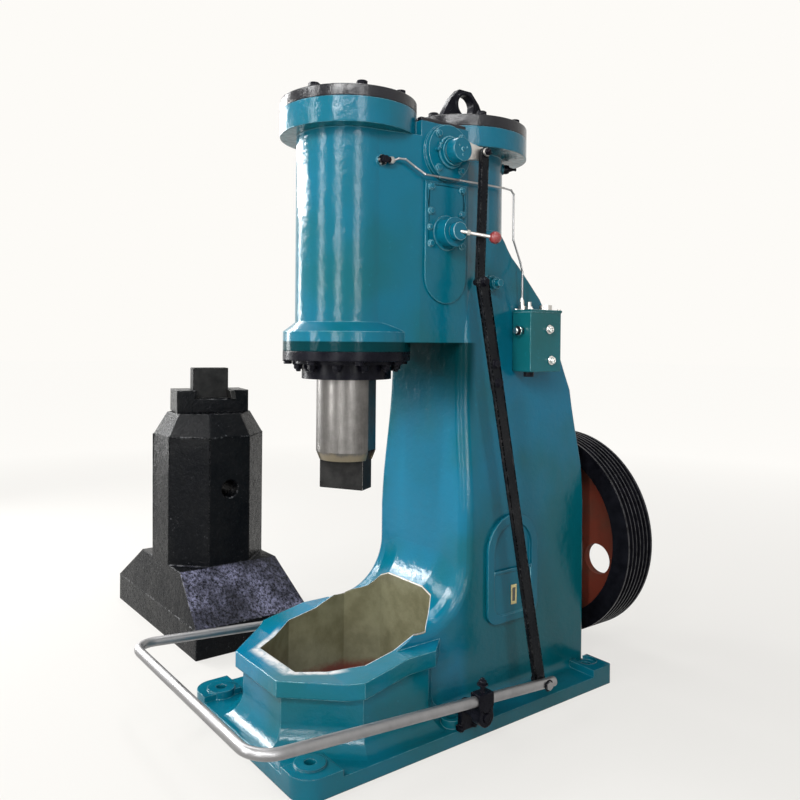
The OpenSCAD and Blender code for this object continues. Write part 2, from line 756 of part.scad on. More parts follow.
module lubricator() {
    color(teal) {
        translate([lub_x, lub_y, lub_z]) cube([lub_w, lub_l, lub_h]);
        translate([lub_x + 2, lub_y - 2, lub_z + lub_h]) cube([lub_w + 2, lub_l + 4, 8]);
    }
}
module lubricator_fittings() {
    color(steel) translate([lub_x, lub_y, lub_z + lub_h + 8]) {
        for (y = [20, 52]) translate([22, y, 0]) {
            cylinder(r = 11, h = 12, $fn = 6);
            translate([0, 0, 12]) cylinder(r = 7, h = 14);
        }
    }
    color(black) translate([lub_x + 52, lub_y + 96, lub_z + lub_h + 8]) cylinder(r = 20, h = 16);
}
module lubricator_gauge() {
    color(black) {
        translate([lub_x + 38, lub_y - 20, lub_z + 128]) ycyl(13, 0, 20);
        translate([lub_x + 26, lub_y + lub_l, lub_z + 30]) cube([34, 12, 128]);
        translate([lub_x + 40, lub_y + 34, lub_z - 16]) cylinder(r = 16, h = 16);
    }
}
module pipe_elbow() {
    color(black) translate([elbow_x, elbow_y, elbow_z]) {
        xcyl(14, 0, 8);
        xcyl(10, 8, 22);
        translate([14, 0, 0]) ycyl(8, 0, 22);
    }
}
module oil_pipe_front() {
    color(steel) pipe([[elbow_x + 14, elbow_y + 22, elbow_z], [elbow_x + 14, elbow_y + 30, elbow_z],
        [elbow_x + 20, elbow_y + 44, elbow_z + 7], [elbow_x + 25, elbow_y + 65, elbow_z + 7],
        [boss_x + 5, elbow_y + 97, elbow_z - 12], [boss_x + 15, elbow_y + 124, pipe_z],
        [boss_x + 17, valve_y + 34, pipe_z], [boss_x + 6, valve_y + 126, pipe_z + 4],
        [comp_r + 14, comp_y + 50, pipe_z + 14], [drop_x, drop_y - 12, pipe_z + 15],
        [drop_x, drop_y, pipe_z + 3], [drop_x, drop_y, pipe_z - 14]], pipe_r);
}
module oil_pipe_riser() {
    color(steel) pipe([[drop_x, drop_y, pipe_z - 14], [drop_x, drop_y, 1440],
        [lub_in[0] - 22, lub_in[1] + 14, 1362], [lub_in[0], lub_in[1], 1330], lub_in], pipe_r);
}
module grease_nipple() {
    color(black) translate([0, comp_y, nipple_z]) rotate([0, 90, 56]) {
        translate([0, 0, comp_r + 6]) cylinder(r = 15, h = 12);
        translate([0, 0, comp_r + 17]) cylinder(r1 = 11, r2 = 4, h = 22);
    }
}
module side_plug() {
    color(teal) translate([0, plug_y, plug_z]) {
        xcyl(18, plug_x, plug_x + 16);
        xcyl(11, plug_x + 15, plug_x + 34);
    }
}
module arch_plan(w, z0, z1) {
    translate([-w / 2, z0 + 40]) square([w, z1 - w / 2 - z0 - 40]);
    translate([-w / 2 + 40, z0]) square([w - 80, 60]);
    translate([0, z1 - w / 2]) circle(w / 2);
    for (s = [-1, 1]) translate([s * (w / 2 - 40), z0 + 40]) circle(40);
}
module cover_shape(x) {
    translate([x, ic_y, 0]) {
        along_x(12) difference() {
            arch_plan(219, 248, 578);
            arch_plan(163, 272, 550);
        }
        translate([-2, 0, 0]) along_x(8) difference() {
            arch_plan(163.1, 272, 550);
            translate([-200, 406]) square([400, 400]);
        }
        translate([-5, 0, 0]) along_x(2) arch_plan(163.1, 272, 550);
        translate([-2, -81, 400]) cube([8, 162, 10]);
    }
}
module inspection_cover() { color(teal) cover_shape(col_w_foot / 2 + 6); }
module inspection_cover_left() { color(teal) mirror([1, 0, 0]) cover_shape(col_w_foot / 2 + 6); }

module crank_bearing() {
    color(teal) translate([0, col_back + 12, crank_z]) difference() {
        union() {
            ycyl(112, 0, 12);
            ycyl(78, 12, 24);
        }
        ycyl(shaft_r + 0.1, -1, 40);
        for (a = [0 : 60 : 300]) rotate([0, a, 0]) translate([96, -1, 0]) rotate([-90, 0, 0])
            cylinder(r = 7, h = 20, $fn = 32);
    }
}
module crankshaft() {
    color(steel) translate([0, 0, crank_z]) {
        ycyl(shaft_r, col_back - 100, wheel_y0 + wheel_w + 4);
    }
}
module flywheel() {
    gw = wheel_w / (grooves + 0.6);
    color([0.08, 0.08, 0.09]) translate([0, wheel_y0, crank_z]) rotate([-90, 0, 0]) difference() {
        rotate_extrude($fn = 144) {
            difference() {
                translate([294, 0]) square([wheel_r - 294, wheel_w]);
                for (i = [0 : grooves - 1]) translate([wheel_r, gw * (i + 0.8)])
                    polygon([[1, -gw * 0.4], [-17, -gw * 0.17], [-17, gw * 0.17], [1, gw * 0.4]]);
            }
            translate([70, 50]) square([230, 26]);
            translate([shaft_r + 0.3, 0]) square([44, wheel_w - 6]);
        }
        for (a = [20 : 90 : 290]) rotate(a) translate([205, 0, 0]) cylinder(r = 52, h = wheel_w);
    }
}

module anvil() {
    b = anvil_af / 2;
    f = b * tan(22.5);
    color([0.1, 0.1, 0.1]) translate([anvil_x, anvil_y, 0]) difference() {
        union() {
            translate([-405, -222, 0]) cube([810, 444, 104]);
            taper(103, 252, 405, 222, b, b);
            linear_extrude(anvil_h) eight(b, b, f, f);
            intersection_for(a = [0 : 45 : 135]) rotate(a) along_x(600) polygon([[-b, anvil_h - 1],
                [-150, anvil_h + 86], [150, anvil_h + 86], [b, anvil_h - 1]]);
        }
        translate([0, 0, 540]) xcyl(34, -400, 400);
    }
}
module on_anvil() { translate([anvil_x, anvil_y, sow_z + sow_h]) rotate(anvil_turn) children(); }
module sow_block() {
    color([0.07, 0.07, 0.07]) on_anvil() difference() {
        translate([-140, -85, -sow_h]) cube([280, 170, sow_h]);
        along_y(-200, 200) polygon([[-die_root - 8, -slot_d], [-die_root, 1], [die_root + 18, 1],
            [die_root + 26, -slot_d]]);
    }
}
module lower_die() {
    color([0.25, 0.25, 0.26]) on_anvil() {
        translate([-die_l / 2, -die_w / 2, 0]) cube([die_l, die_w, die_h]);
        along_y(-die_w / 2, die_w / 2) polygon([[-die_root - 7.8, -slot_d + 0.2], [-die_root + 0.1, 0],
            [die_root - 0.1, 0], [die_root + 7.8, -slot_d + 0.2]]);
    }
}
module die_wedge() {
    color([0.3, 0.3, 0.3]) on_anvil() along_y(-100, 92) polygon([[die_root + 8.2, -slot_d + 0.2],
        [die_root + 0.4, -1], [die_root + 17.5, -1], [die_root + 25.2, -slot_d + 0.2]]);
}

base_casting();
column_casting();
cylinder_block();
front_cylinder_cover();
front_cover_plug();
rear_cylinder_cover();
lifting_eye();
valve_chest_cover();
gland_plate();
gland_ring();
ram();
upper_die();
upper_valve_flange();
upper_valve_cap_left();
upper_valve_lever();
valve_side_plate();
valve_side_plate_left();
lower_valve_ring();
lower_valve_cap_left();
hand_lever();
hand_lever_knob();
link_upper();
link_lower();
treadle();
treadle_clamp_right();
treadle_clamp_left();
pivot_bracket_right();
pivot_bracket_left();
lubricator();
lubricator_fittings();
lubricator_gauge();
oil_pipe_front();
oil_pipe_riser();
pipe_elbow();
grease_nipple();
side_plug();
inspection_cover();
inspection_cover_left();
crank_bearing();
crankshaft();
flywheel();
anvil();
sow_block();
lower_die();
die_wedge();
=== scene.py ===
import math

import bmesh
import bpy
from mathutils import Matrix, Vector


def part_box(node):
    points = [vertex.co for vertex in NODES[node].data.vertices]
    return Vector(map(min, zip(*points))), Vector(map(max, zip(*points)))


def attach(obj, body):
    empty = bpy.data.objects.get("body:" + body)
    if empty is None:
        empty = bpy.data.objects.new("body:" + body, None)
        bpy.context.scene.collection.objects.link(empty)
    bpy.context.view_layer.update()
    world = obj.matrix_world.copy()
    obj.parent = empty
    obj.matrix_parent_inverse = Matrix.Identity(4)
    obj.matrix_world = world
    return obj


bpy.context.scene.view_settings.view_transform = "Standard"

# Everything is in metres in the model's own frame: +Z up, +Y to the back, +X to the valve side.
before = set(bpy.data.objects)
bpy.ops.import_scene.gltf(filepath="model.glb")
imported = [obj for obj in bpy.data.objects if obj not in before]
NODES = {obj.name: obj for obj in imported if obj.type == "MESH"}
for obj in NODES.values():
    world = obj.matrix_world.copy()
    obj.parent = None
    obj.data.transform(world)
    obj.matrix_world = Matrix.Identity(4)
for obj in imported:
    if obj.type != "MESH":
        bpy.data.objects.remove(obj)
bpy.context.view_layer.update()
X, Y, Z = Vector((1, 0, 0)), Vector((0, 1, 0)), Vector((0, 0, 1))


def add_object(name, data):
    o = bpy.data.objects.new(name, data)
    bpy.context.scene.collection.objects.link(o)
    return o


# ---------------------------------------------------------------- camera
SENSOR, FOCAL = 36.0, 34.6005  # mm
SHIFT = (0.0244, -0.0651)
EYE = Vector((1.8853, -1.5357, 1.104))
YAW, PITCH, ROLL = (math.radians(a) for a in (53.4002, 0.3976, 0.5252))


def make_camera():
    right = Vector((math.cos(YAW), math.sin(YAW), 0))
    look = Vector((-math.sin(YAW), math.cos(YAW), 0))
    look, up = look * math.cos(PITCH) - Z * math.sin(PITCH), Z * math.cos(PITCH) + look * math.sin(PITCH)
    right, up = right * math.cos(ROLL) + up * math.sin(ROLL), up * math.cos(ROLL) - right * math.sin(ROLL)
    data = bpy.data.cameras.new("camera")
    data.sensor_width, data.lens = SENSOR, FOCAL
    data.shift_x, data.shift_y = SHIFT
    data.clip_start, data.clip_end = 0.05, 100
    cam = add_object("camera", data)
    cam.matrix_world = Matrix.Translation(EYE) @ Matrix((right, up, -look)).transposed().to_4x4()
    bpy.context.scene.camera = cam


make_camera()


# ---------------------------------------------------------------- places taken from the CAD
def mid(node):
    lo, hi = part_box(node)
    return (lo + hi) / 2


def low(node):
    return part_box(node)[0]


def high(node):
    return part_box(node)[1]


RAM = mid("ram")
REAR = mid("rear_cylinder_cover")
REAR_TOP = high("rear_cylinder_cover").z
FLANGE_R = (high("front_cylinder_cover").x - low("front_cylinder_cover").x) / 2
REAR_R = (high("rear_cylinder_cover").x - low("rear_cylinder_cover").x) / 2
WHEEL = mid("flywheel")
LUB_LOW, LUB_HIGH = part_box("lubricator")


# ---------------------------------------------------------------- materials
class Mat:
    """A node material with short calls for what the surfaces here need."""

    def __init__(self, name, **sockets):
        self.m = bpy.data.materials.new(name)
        self.m.use_nodes = True
        self.t = self.m.node_tree
        self.t.nodes.clear()
        self.out = self.node("ShaderNodeOutputMaterial")
        self.bsdf = self.node("ShaderNodeBsdfPrincipled")
        self.t.links.new(self.bsdf.outputs[0], self.out.inputs[0])
        self.obj = self.node("ShaderNodeTexCoord").outputs["Object"]
        self.set(**sockets)

    def node(self, kind, **props):
        n = self.t.nodes.new(kind)
        for k, v in props.items():
            setattr(n, k, v)
        return n

    def put(self, socket, value):
        if isinstance(value, bpy.types.NodeSocket):
            self.t.links.new(value, socket)
        elif value is not None:
            is_colour = hasattr(socket.default_value, "__len__") and len(socket.default_value) == 4
            if is_colour and len(value) == 3:
                value = (*value, 1)
            socket.default_value = value

    def set(self, **sockets):
        for k, v in sockets.items():
            self.put(self.bsdf.inputs[k.replace("_", " ")], v)

    def scaled(self, x, y, z):
        n = self.node("ShaderNodeMapping")
        self.put(n.inputs["Vector"], self.obj)
        n.inputs["Scale"].default_value = (x, y, z)
        return n.outputs[0]

    def noise(self, scale, detail, rough, vec=None):
        n = self.node("ShaderNodeTexNoise")
        self.put(n.inputs["Vector"], vec or self.obj)
        n.inputs["Scale"].default_value = scale
        n.inputs["Detail"].default_value = detail
        n.inputs["Roughness"].default_value = rough
        return n.outputs[0]

    def voronoi(self, scale):
        n = self.node("ShaderNodeTexVoronoi", feature="F1")
        self.put(n.inputs["Vector"], self.obj)
        n.inputs["Scale"].default_value = scale
        return n.outputs[0]

    def span(self, value, a, b, c=0.0, d=1.0):
        """Maps a..b smoothly to c..d."""
        n = self.node("ShaderNodeMapRange", interpolation_type="SMOOTHSTEP")
        self.put(n.inputs["Value"], value)
        for k, v in zip(("From Min", "From Max", "To Min", "To Max"), (a, b, c, d)):
            n.inputs[k].default_value = v
        return n.outputs[0]

    def math(self, op, a, b=None, c=None):
        n = self.node("ShaderNodeMath", operation=op)
        for s, v in zip(n.inputs, (a, b, c)):
            self.put(s, v)
        return n.outputs[0]

    def times(self, first, *others):
        """The product of masks."""
        for other in others:
            first = self.math("MULTIPLY", first, other)
        return first

    def most(self, first, *others):
        """The strongest of masks."""
        for other in others:
            first = self.math("MAXIMUM", first, other)
        return first

    def mix(self, fac, a, b):
        n = self.node("ShaderNodeMix", data_type="RGBA", blend_type="MIX")
        self.put(n.inputs[0], fac)
        self.put(n.inputs[6], a)
        self.put(n.inputs[7], b)
        return n.outputs[2]

    def xyz(self):
        n = self.node("ShaderNodeSeparateXYZ")
        self.put(n.inputs[0], self.obj)
        return n.outputs

    def true_normal(self):
        n = self.node("ShaderNodeSeparateXYZ")
        self.put(n.inputs[0], self.node("ShaderNodeNewGeometry").outputs["True Normal"])
        return n.outputs

    def round(self, radius):
        n = self.node("ShaderNodeBevel", samples=4)
        n.inputs["Radius"].default_value = radius
        return n.outputs[0]

    def edges(self, radius):
        """1 on outer and inner edges, 0 on open faces."""
        n = self.node("ShaderNodeVectorMath", operation="DOT_PRODUCT")
        self.put(n.inputs[0], self.round(radius))
        self.put(n.inputs[1], self.node("ShaderNodeNewGeometry").outputs["Normal"])
        return self.span(n.outputs["Value"], 0.985, 0.86)

    def away_from(self, heights, reach):
        """0 close to the heights where two castings of one surface meet, 1 elsewhere."""
        z, total = self.xyz()[2], 1.0
        for h in heights:
            near = self.span(self.math("ABSOLUTE", self.math("SUBTRACT", z, h)), reach, reach * 1.3)
            total = self.math("MULTIPLY", total, near)
        return total

    def blend_normal(self, fac, rounded):
        """The plain normal where fac is 0, the rounded one where it is 1."""
        n = self.node("ShaderNodeMix", data_type="VECTOR")
        self.put(n.inputs[0], fac)
        self.put(n.inputs[4], self.node("ShaderNodeNewGeometry").outputs["Normal"])
        self.put(n.inputs[5], rounded)
        return n.outputs[1]

    def bump(self, height, strength, distance, normal):
        n = self.node("ShaderNodeBump")
        self.put(n.inputs["Height"], height)
        self.put(n.inputs["Normal"], normal)
        n.inputs["Strength"].default_value = strength
        n.inputs["Distance"].default_value = distance
        return n.outputs[0]


TEAL = (0.0008, 0.093, 0.160)
TEAL_FITTINGS = (0.0010, 0.078, 0.122)
TEAL_GREEN = (0.0008, 0.068, 0.080)
TEAL_PALE = (0.012, 0.190, 0.300)
TEAL_PAINTED_SHADE = (0.0008, 0.060, 0.074)
TEAL_SHADE = (0.0006, 0.016, 0.017)
LUB_PAINT = (0.003, 0.082, 0.100)
LUB_GREEN = (0.003, 0.062, 0.066)
PAINTED_EDGE_HIGHLIGHT = (0.22, 0.46, 0.52)
CHIPPED_PAINT = (0.45, 0.47, 0.46)
RUBBED_METAL_AND_SHEEN = (0.44, 0.425, 0.41)
PRIMER_KHAKI = (0.080, 0.075, 0.043)
PRIMER_KHAKI_PALE = (0.118, 0.114, 0.070)
PRIMER_RED = (0.085, 0.014, 0.008)
PAINT_SHINE = 0.22

# plan of the anvil pocket from the ram axis: half width, half depth, and the two corners on each flank
POCKET = Vector((0.206, 0.226))
POCKET_FRONT = Vector((0.100, 0.070))
POCKET_BACK = Vector((0.125, 0.138))
POCKET_TOP = 0.45  # above all of the pocket's rim
RIM_LOW = 0.19  # below all of it


def gloss_paint(name, base, second, rough, round_r=0.006, peel=1.0, joins=()):
    """Thick gloss paint over a rough casting: waves from brushing and casting, fine grain, chipped edges
    and a painted highlight along them.
    """
    k = Mat(name)
    colour = k.mix(k.span(k.noise(2.6, 3, 0.5), 0.42, 0.66, 0, 0.8), base, second)
    colour = k.mix(k.span(k.noise(55, 5, 0.65), 0.60, 0.78, 0, 0.25), colour, TEAL_PALE)
    away = k.away_from(joins, 0.008)
    edge = k.math("MULTIPLY", k.edges(0.0030), away)
    # a painted highlight along the edges in pale teal, then grey chips where the paint is off
    colour = k.mix(k.times(edge, k.span(k.noise(21, 4, 0.7), 0.36, 0.60, 0.20, 0.85)), colour, PAINTED_EDGE_HIGHLIGHT)
    colour = k.mix(k.times(edge, k.span(k.noise(38, 4, 0.7), 0.60, 0.64), 0.35), colour, CHIPPED_PAINT)
    normal = k.blend_normal(away, k.round(round_r)) if joins else k.round(round_r)
    for scale, detail, noise_rough, strength, depth in (
            (9, 4, 0.55, 0.40, 0.008), (34, 5, 0.6, 0.55, 0.0028), (240, 3, 0.6, 0.32, 0.0006)):
        normal = k.bump(k.noise(scale, detail, noise_rough), strength * peel, depth, normal)
    k.set(Base_Color=colour, Roughness=k.span(k.noise(20, 4, 0.6), 0.3, 0.75, rough * 0.8, rough * 1.35),
          Normal=normal, Specular_IOR_Level=PAINT_SHINE)
    return k, colour


def teal_frame():
    """The paint that runs through the three castings of the frame, with primer in the anvil pocket."""
    base_top, column_top = high("base_casting").z, high("column_casting").z
    k, colour = gloss_paint("teal_gloss_paint", TEAL, TEAL_GREEN, 0.13, joins=(base_top, column_top))
    x, y, z = k.xyz()[:3]
    facing_x, _, facing_z = k.true_normal()[:3]
    below_top = k.math("LESS_THAN", z, POCKET_TOP)

    # distance outside the pocket's plan of eight sides
    u = k.math("ABSOLUTE", x)
    v = k.math("SUBTRACT", y, RAM.y)
    lean = (POCKET.y - POCKET_FRONT.y) / (POCKET.x - POCKET_FRONT.x)
    front = k.math("SUBTRACT", k.math("MULTIPLY_ADD", u, lean, k.math("MULTIPLY", v, -1)),
                   POCKET_FRONT.y + POCKET.x * lean)
    lean = (POCKET.x - POCKET_BACK.x) / (POCKET.y - POCKET_BACK.y)
    back = k.math("SUBTRACT", k.math("ADD", u, k.math("MULTIPLY", v, lean)),
                  POCKET.x + POCKET_BACK.y * lean)
    far = k.most(k.math("SUBTRACT", u, POCKET.x), k.math("SUBTRACT", k.math("ABSOLUTE", v), POCKET.y),
                 front, back)

    # primer on its walls, red near the floor
    wall = k.times(k.math("LESS_THAN", far, 0.0035), k.math("LESS_THAN", facing_z, 0.8), below_top)
    fray = k.math("MULTIPLY_ADD", k.noise(26, 4, 0.6), 0.05, -0.025)
    primer = k.mix(k.span(k.noise(14, 4, 0.6), 0.3, 0.7), PRIMER_KHAKI, PRIMER_KHAKI_PALE)
    primer = k.mix(k.span(k.math("ADD", z, fray), 0.075, 0.035), primer, PRIMER_RED)
    colour = k.mix(wall, colour, primer)

    # the rim: rubbed bare metal together with a painted sheen, most of all in a broad band along its front
    above_base = k.span(z, RIM_LOW, RIM_LOW + 0.02)
    lip = k.times(k.span(far, 0.0030, 0.0016), k.span(facing_z, 0.35, 0.6), above_base,
                  k.span(k.noise(30, 4, 0.6), 0.3, 0.5, 0.30, 0.75))
    front_lip = k.times(k.span(v, -0.10, -0.15), k.span(facing_z, 0.8, 0.95), k.span(far, 0.042, 0.014),
                        above_base, k.span(k.noise(34, 5, 0.7), 0.30, 0.58, 0.20, 0.90))
    colour = k.mix(k.times(k.most(lip, front_lip), below_top), colour, RUBBED_METAL_AND_SHEEN)

    # painted shade, greener and darker: side faces towards the foot, faces that look down, the foot, and a
    # little the head
    side = k.times(k.span(k.math("ABSOLUTE", facing_x), 0.70, 0.90), k.span(y, -0.02, 0.05),
                   k.span(k.math("MULTIPLY_ADD", k.noise(3.5, 3, 0.5), 0.3, z), 1.05, 0.45))
    under = k.span(facing_z, -0.3, -0.7)
    foot = k.span(k.math("MULTIPLY_ADD", k.noise(6, 3, 0.5), 0.12, z), 0.26, 0.10)
    shade = k.times(k.most(side, under, k.times(foot, 0.7)), 0.85)
    shade = k.most(shade, k.span(k.math("MULTIPLY_ADD", fray, 4, z), 0.95, 1.15, 0, 0.34))
    colour = k.mix(k.times(shade, k.math("SUBTRACT", 1.0, wall)), colour, TEAL_PAINTED_SHADE)

    # painted shadow, dark and dull, on the column's front close under the head
    shadow = k.times(k.span(z, 0.80, 1.04), k.span(y, 0.10, 0.06),
                     k.span(z, column_top + 0.004, column_top))
    colour = k.mix(k.times(shadow, 0.92), colour, TEAL_SHADE)
    k.set(Base_Color=colour, Specular_IOR_Level=k.span(shadow, 0.0, 1.0, PAINT_SHINE, 0.04))
    return k.m


def black_gloss(name, rough=0.24, grainy=1.0, shine=0.05):
    k = Mat(name)
    lumps = k.noise(46, 5, 0.62)
    colour = k.mix(k.span(k.noise(18, 3, 0.5), 0.3, 0.7), (0.0025, 0.0025, 0.0045), (0.007, 0.007, 0.010))
    edge = k.times(k.edges(0.0025), k.span(k.noise(60, 3, 0.7), 0.56, 0.64, 0, 0.35))
    colour = k.mix(edge, colour, (0.22, 0.22, 0.24))
    normal = k.bump(lumps, 0.34 * grainy, 0.002, k.round(0.003))
    normal = k.bump(k.noise(300, 3, 0.6), 0.25 * grainy, 0.0006, normal)
    k.set(Base_Color=colour, Roughness=k.span(lumps, 0.3, 0.7, rough * 0.75, rough * 1.5), Normal=normal,
          Specular_IOR_Level=shine)
    return k.m


def toned(colour, tone):
    return tuple(c * tone for c in colour)


def rough_iron(name, lumps_scale=62, strength=1.0, tone=0.7, glints_and_wear=1.0):
    """Painted rough casting: shallow pits and glinting lumps, with glints and a lilac sheen also painted
    into its colour.
    """
    k = Mat(name)
    lumps = k.noise(lumps_scale, 7, 0.68)
    colour = k.mix(k.span(k.noise(6, 4, 0.6), 0.35, 0.7), toned((0.0030, 0.0036, 0.0048), tone),
                   toned((0.0075, 0.0078, 0.0085), tone))
    # pale edges: wear together with painted glints
    edge = k.times(k.edges(0.006), k.span(k.noise(48, 5, 0.75), 0.50, 0.62, 0, 0.25 + 0.55 * glints_and_wear))
    colour = k.mix(edge, colour, (0.26, 0.26, 0.27))
    # painted glints where lumps stand proud, and a painted lilac sheen in streaks down the slopes of the
    # foot
    glint = k.times(k.span(k.noise(lumps_scale * 2.2, 4, 0.7), 0.66, 0.70, 0, 0.55),
                    k.span(k.noise(7, 3, 0.6), 0.45, 0.62), glints_and_wear)
    colour = k.mix(glint, colour, (0.30, 0.30, 0.32))
    facing_x, _, facing_z = k.true_normal()[:3]
    slope = k.times(k.span(facing_z, 0.35, 0.5), k.span(facing_x, 0.3, 0.55),
                    k.span(k.xyz()[2], 0.36, 0.32), k.span(k.noise(5, 4, 0.6), 0.35, 0.62, 0.15, 1.0))
    sheen_streaks = k.span(k.noise(110, 6, 0.8, k.scaled(1, 1, 0.18)), 0.40, 0.62)
    colour = k.mix(k.times(slope, sheen_streaks, glints_and_wear), colour, (0.17, 0.17, 0.25))
    normal = k.bump(k.noise(9, 3, 0.5), 0.5, 0.012, k.round(0.007))
    normal = k.bump(lumps, 0.6 * strength, 0.005, normal)
    normal = k.bump(k.span(k.voronoi(85), 0.0, 0.35), 0.30 * strength, 0.003, normal)
    normal = k.bump(k.noise(330, 3, 0.6), 0.12, 0.0006, normal)
    k.set(Base_Color=colour, Roughness=k.span(lumps, 0.3, 0.7, 0.14, 0.34), Normal=normal,
          Specular_IOR_Level=0.06)
    return k.m


def ground_steel(name, tone=(0.60, 0.58, 0.55), rough=0.34, along=(6, 6, 60), stain=True, streaks=0.5):
    """Machined or drawn steel with fine lines; along says how the lines are stretched."""
    k = Mat(name, Metallic=1.0)
    lines = k.noise(26, 6, 0.7, k.scaled(*along))
    cloud = k.noise(11, 4, 0.6)
    colour = k.mix(k.span(cloud, 0.3, 0.75), tone, toned(tone, 0.74))
    colour = k.mix(k.span(lines, 0.45, 0.75, 0, streaks), colour, toned(tone, 0.55))
    if stain:
        colour = k.mix(k.span(k.noise(5, 5, 0.65), 0.58, 0.8, 0, 0.55), colour, (0.23, 0.17, 0.11))
    normal = k.bump(lines, 0.10, 0.0006, k.round(0.002))
    normal = k.bump(k.noise(420, 2, 0.5), 0.08, 0.0003, normal)
    k.set(Base_Color=colour, Roughness=k.span(cloud, 0.25, 0.8, rough * 0.75, rough * 1.4), Normal=normal)
    return k.m


def ram_steel():
    """Ground steel with upright streaks, and a burnt ring at its lower end."""
    k = Mat("ram_ground_steel", Metallic=1.0)
    upright = k.noise(20, 5, 0.7, k.scaled(8, 8, 0.7))
    rings = k.noise(30, 4, 0.6, k.scaled(0.6, 0.6, 14))
    cloud = k.noise(13, 5, 0.65)
    colour = k.mix(k.span(cloud, 0.3, 0.75), (0.15, 0.144, 0.138), (0.09, 0.086, 0.082))
    colour = k.mix(k.span(upright, 0.48, 0.72, 0, 0.55), colour, (0.07, 0.066, 0.062))
    fray = k.math("MULTIPLY_ADD", k.noise(30, 4, 0.6, k.scaled(1, 1, 0.25)), 0.03, -0.015)
    foot = low("ram").z
    burnt = k.span(k.math("ADD", k.xyz()[2], fray), foot + 0.026, foot + 0.014)
    colour = k.mix(k.times(burnt, 0.6), colour, (0.30, 0.25, 0.16))
    dark = k.times(k.span(k.noise(42, 4, 0.7), 0.55, 0.7), 0.4)
    colour = k.mix(dark, colour, (0.15, 0.14, 0.13))
    normal = k.bump(rings, 0.10, 0.0005, k.round(0.002))
    normal = k.bump(upright, 0.08, 0.0005, normal)
    k.set(Base_Color=colour, Roughness=k.span(cloud, 0.25, 0.8, 0.28, 0.5), Normal=normal)
    return k.m


def die_steel():
    k = Mat("die_black_steel", Specular_IOR_Level=0.07)
    cloud = k.noise(24, 5, 0.65)
    colour = k.mix(k.span(cloud, 0.3, 0.75), (0.007, 0.007, 0.007), (0.020, 0.0195, 0.019))
    edge = k.times(k.edges(0.002), k.span(k.noise(70, 3, 0.7), 0.4, 0.6, 0, 0.9))
    colour = k.mix(edge, colour, (0.34, 0.33, 0.31))
    normal = k.bump(k.noise(60, 4, 0.6, k.scaled(1, 1, 9)), 0.12, 0.0006, k.round(0.0016))
    normal = k.bump(cloud, 0.16, 0.0012, normal)
    k.set(Base_Color=colour, Roughness=k.span(cloud, 0.3, 0.75, 0.42, 0.62), Normal=normal)
    return k.m


def wheel_paint():
    """Black rim with bright groove lands, red oxide primer on the web, black hub."""
    rim_r = (high("flywheel").x - low("flywheel").x) / 2
    web_from, web_to = 0.082, 0.292
    k = Mat("flywheel_paint", Specular_IOR_Level=0.05)
    x, _, z = k.xyz()[:3]
    dz = k.math("SUBTRACT", z, WHEEL.z)
    r = k.math("SQRT", k.math("ADD", k.math("MULTIPLY", x, x), k.math("MULTIPLY", dz, dz)))
    frayed = k.math("ADD", r, k.math("MULTIPLY_ADD", k.noise(30, 4, 0.6), 0.006, -0.003))
    web = k.times(k.span(frayed, web_from - 0.002, web_from + 0.002),
                  k.span(frayed, web_to + 0.0015, web_to - 0.0015))
    flat = k.math("LESS_THAN", k.math("ABSOLUTE", k.true_normal()[1]), 0.5)
    land = k.times(k.math("GREATER_THAN", r, rim_r - 0.0016), flat)
    black = k.mix(k.span(k.noise(30, 4, 0.6), 0.3, 0.7), (0.002, 0.002, 0.003), (0.005, 0.005, 0.007))
    red = k.mix(k.span(k.noise(9, 5, 0.6), 0.3, 0.75), (0.125, 0.024, 0.014), (0.080, 0.028, 0.018))
    colour = k.mix(web, black, red)
    bright = k.times(land, k.span(k.noise(50, 3, 0.5), 0.35, 0.6, 0.1, 0.5))
    colour = k.mix(bright, colour, (0.075, 0.075, 0.08))
    normal = k.bump(k.noise(70, 5, 0.6), 0.22, 0.0012, k.round(0.0022))
    k.set(Base_Color=colour, Normal=normal, Metallic=k.times(land, 0.4),
          Roughness=k.mix(web, (0.26, 0.26, 0.26), (0.6, 0.6, 0.6)))
    return k.m


def plain_gloss(name, base, dark, rough, coat=0.5):
    k = Mat(name)
    k.set(Base_Color=k.mix(k.span(k.noise(60, 4, 0.6), 0.3, 0.7), base, dark),
          Roughness=k.span(k.noise(90, 3, 0.6), 0.3, 0.7, rough * 0.8, rough * 1.4),
          Normal=k.bump(k.noise(240, 3, 0.6), 0.08, 0.0004, k.round(0.001)),
          Coat_Weight=coat, Coat_Roughness=0.08)
    return k.m


M = {
    "frame": teal_frame(),
    "teal": gloss_paint("teal_fitting_paint", TEAL_FITTINGS, TEAL_GREEN, 0.16, 0.003, 0.8)[0].m,
    "lub": gloss_paint("lubricator_paint", LUB_PAINT, LUB_GREEN, 0.18, 0.003, 0.6)[0].m,
    "black": black_gloss("black_gloss_paint"),
    "cover": black_gloss("black_cover_paint", 0.16, 1.6, 0.34),
    "link": rough_iron("rough_black_bar", 130, 0.35, 1.2, 0.0),
    "iron": rough_iron("rough_black_casting"),
    "ram": ram_steel(),
    "steel": ground_steel("bright_machined_steel"),
    "tube": ground_steel("drawn_bright_tube", (0.27, 0.268, 0.272), 0.42, (5, 5, 5), False, 0.10),
    "pipe": ground_steel("drawn_oil_pipe", (0.34, 0.34, 0.345), 0.34, (5, 5, 5), False, 0.2),
    "die": die_steel(),
    "wheel": wheel_paint(),
    "knob": plain_gloss("red_knob_plastic", (0.19, 0.026, 0.026), (0.14, 0.016, 0.016), 0.28, 0.1),
    "chrome": ground_steel("bright_plated_screw", (0.82, 0.82, 0.80), 0.18, (9, 9, 9), False, 0.2),
    "brass": plain_gloss("bare_brass_plate", (0.50, 0.42, 0.20), (0.40, 0.33, 0.15), 0.4, 0.0),
    "glass": plain_gloss("dark_sight_glass", (0.015, 0.018, 0.016), (0.03, 0.03, 0.022), 0.08),
}

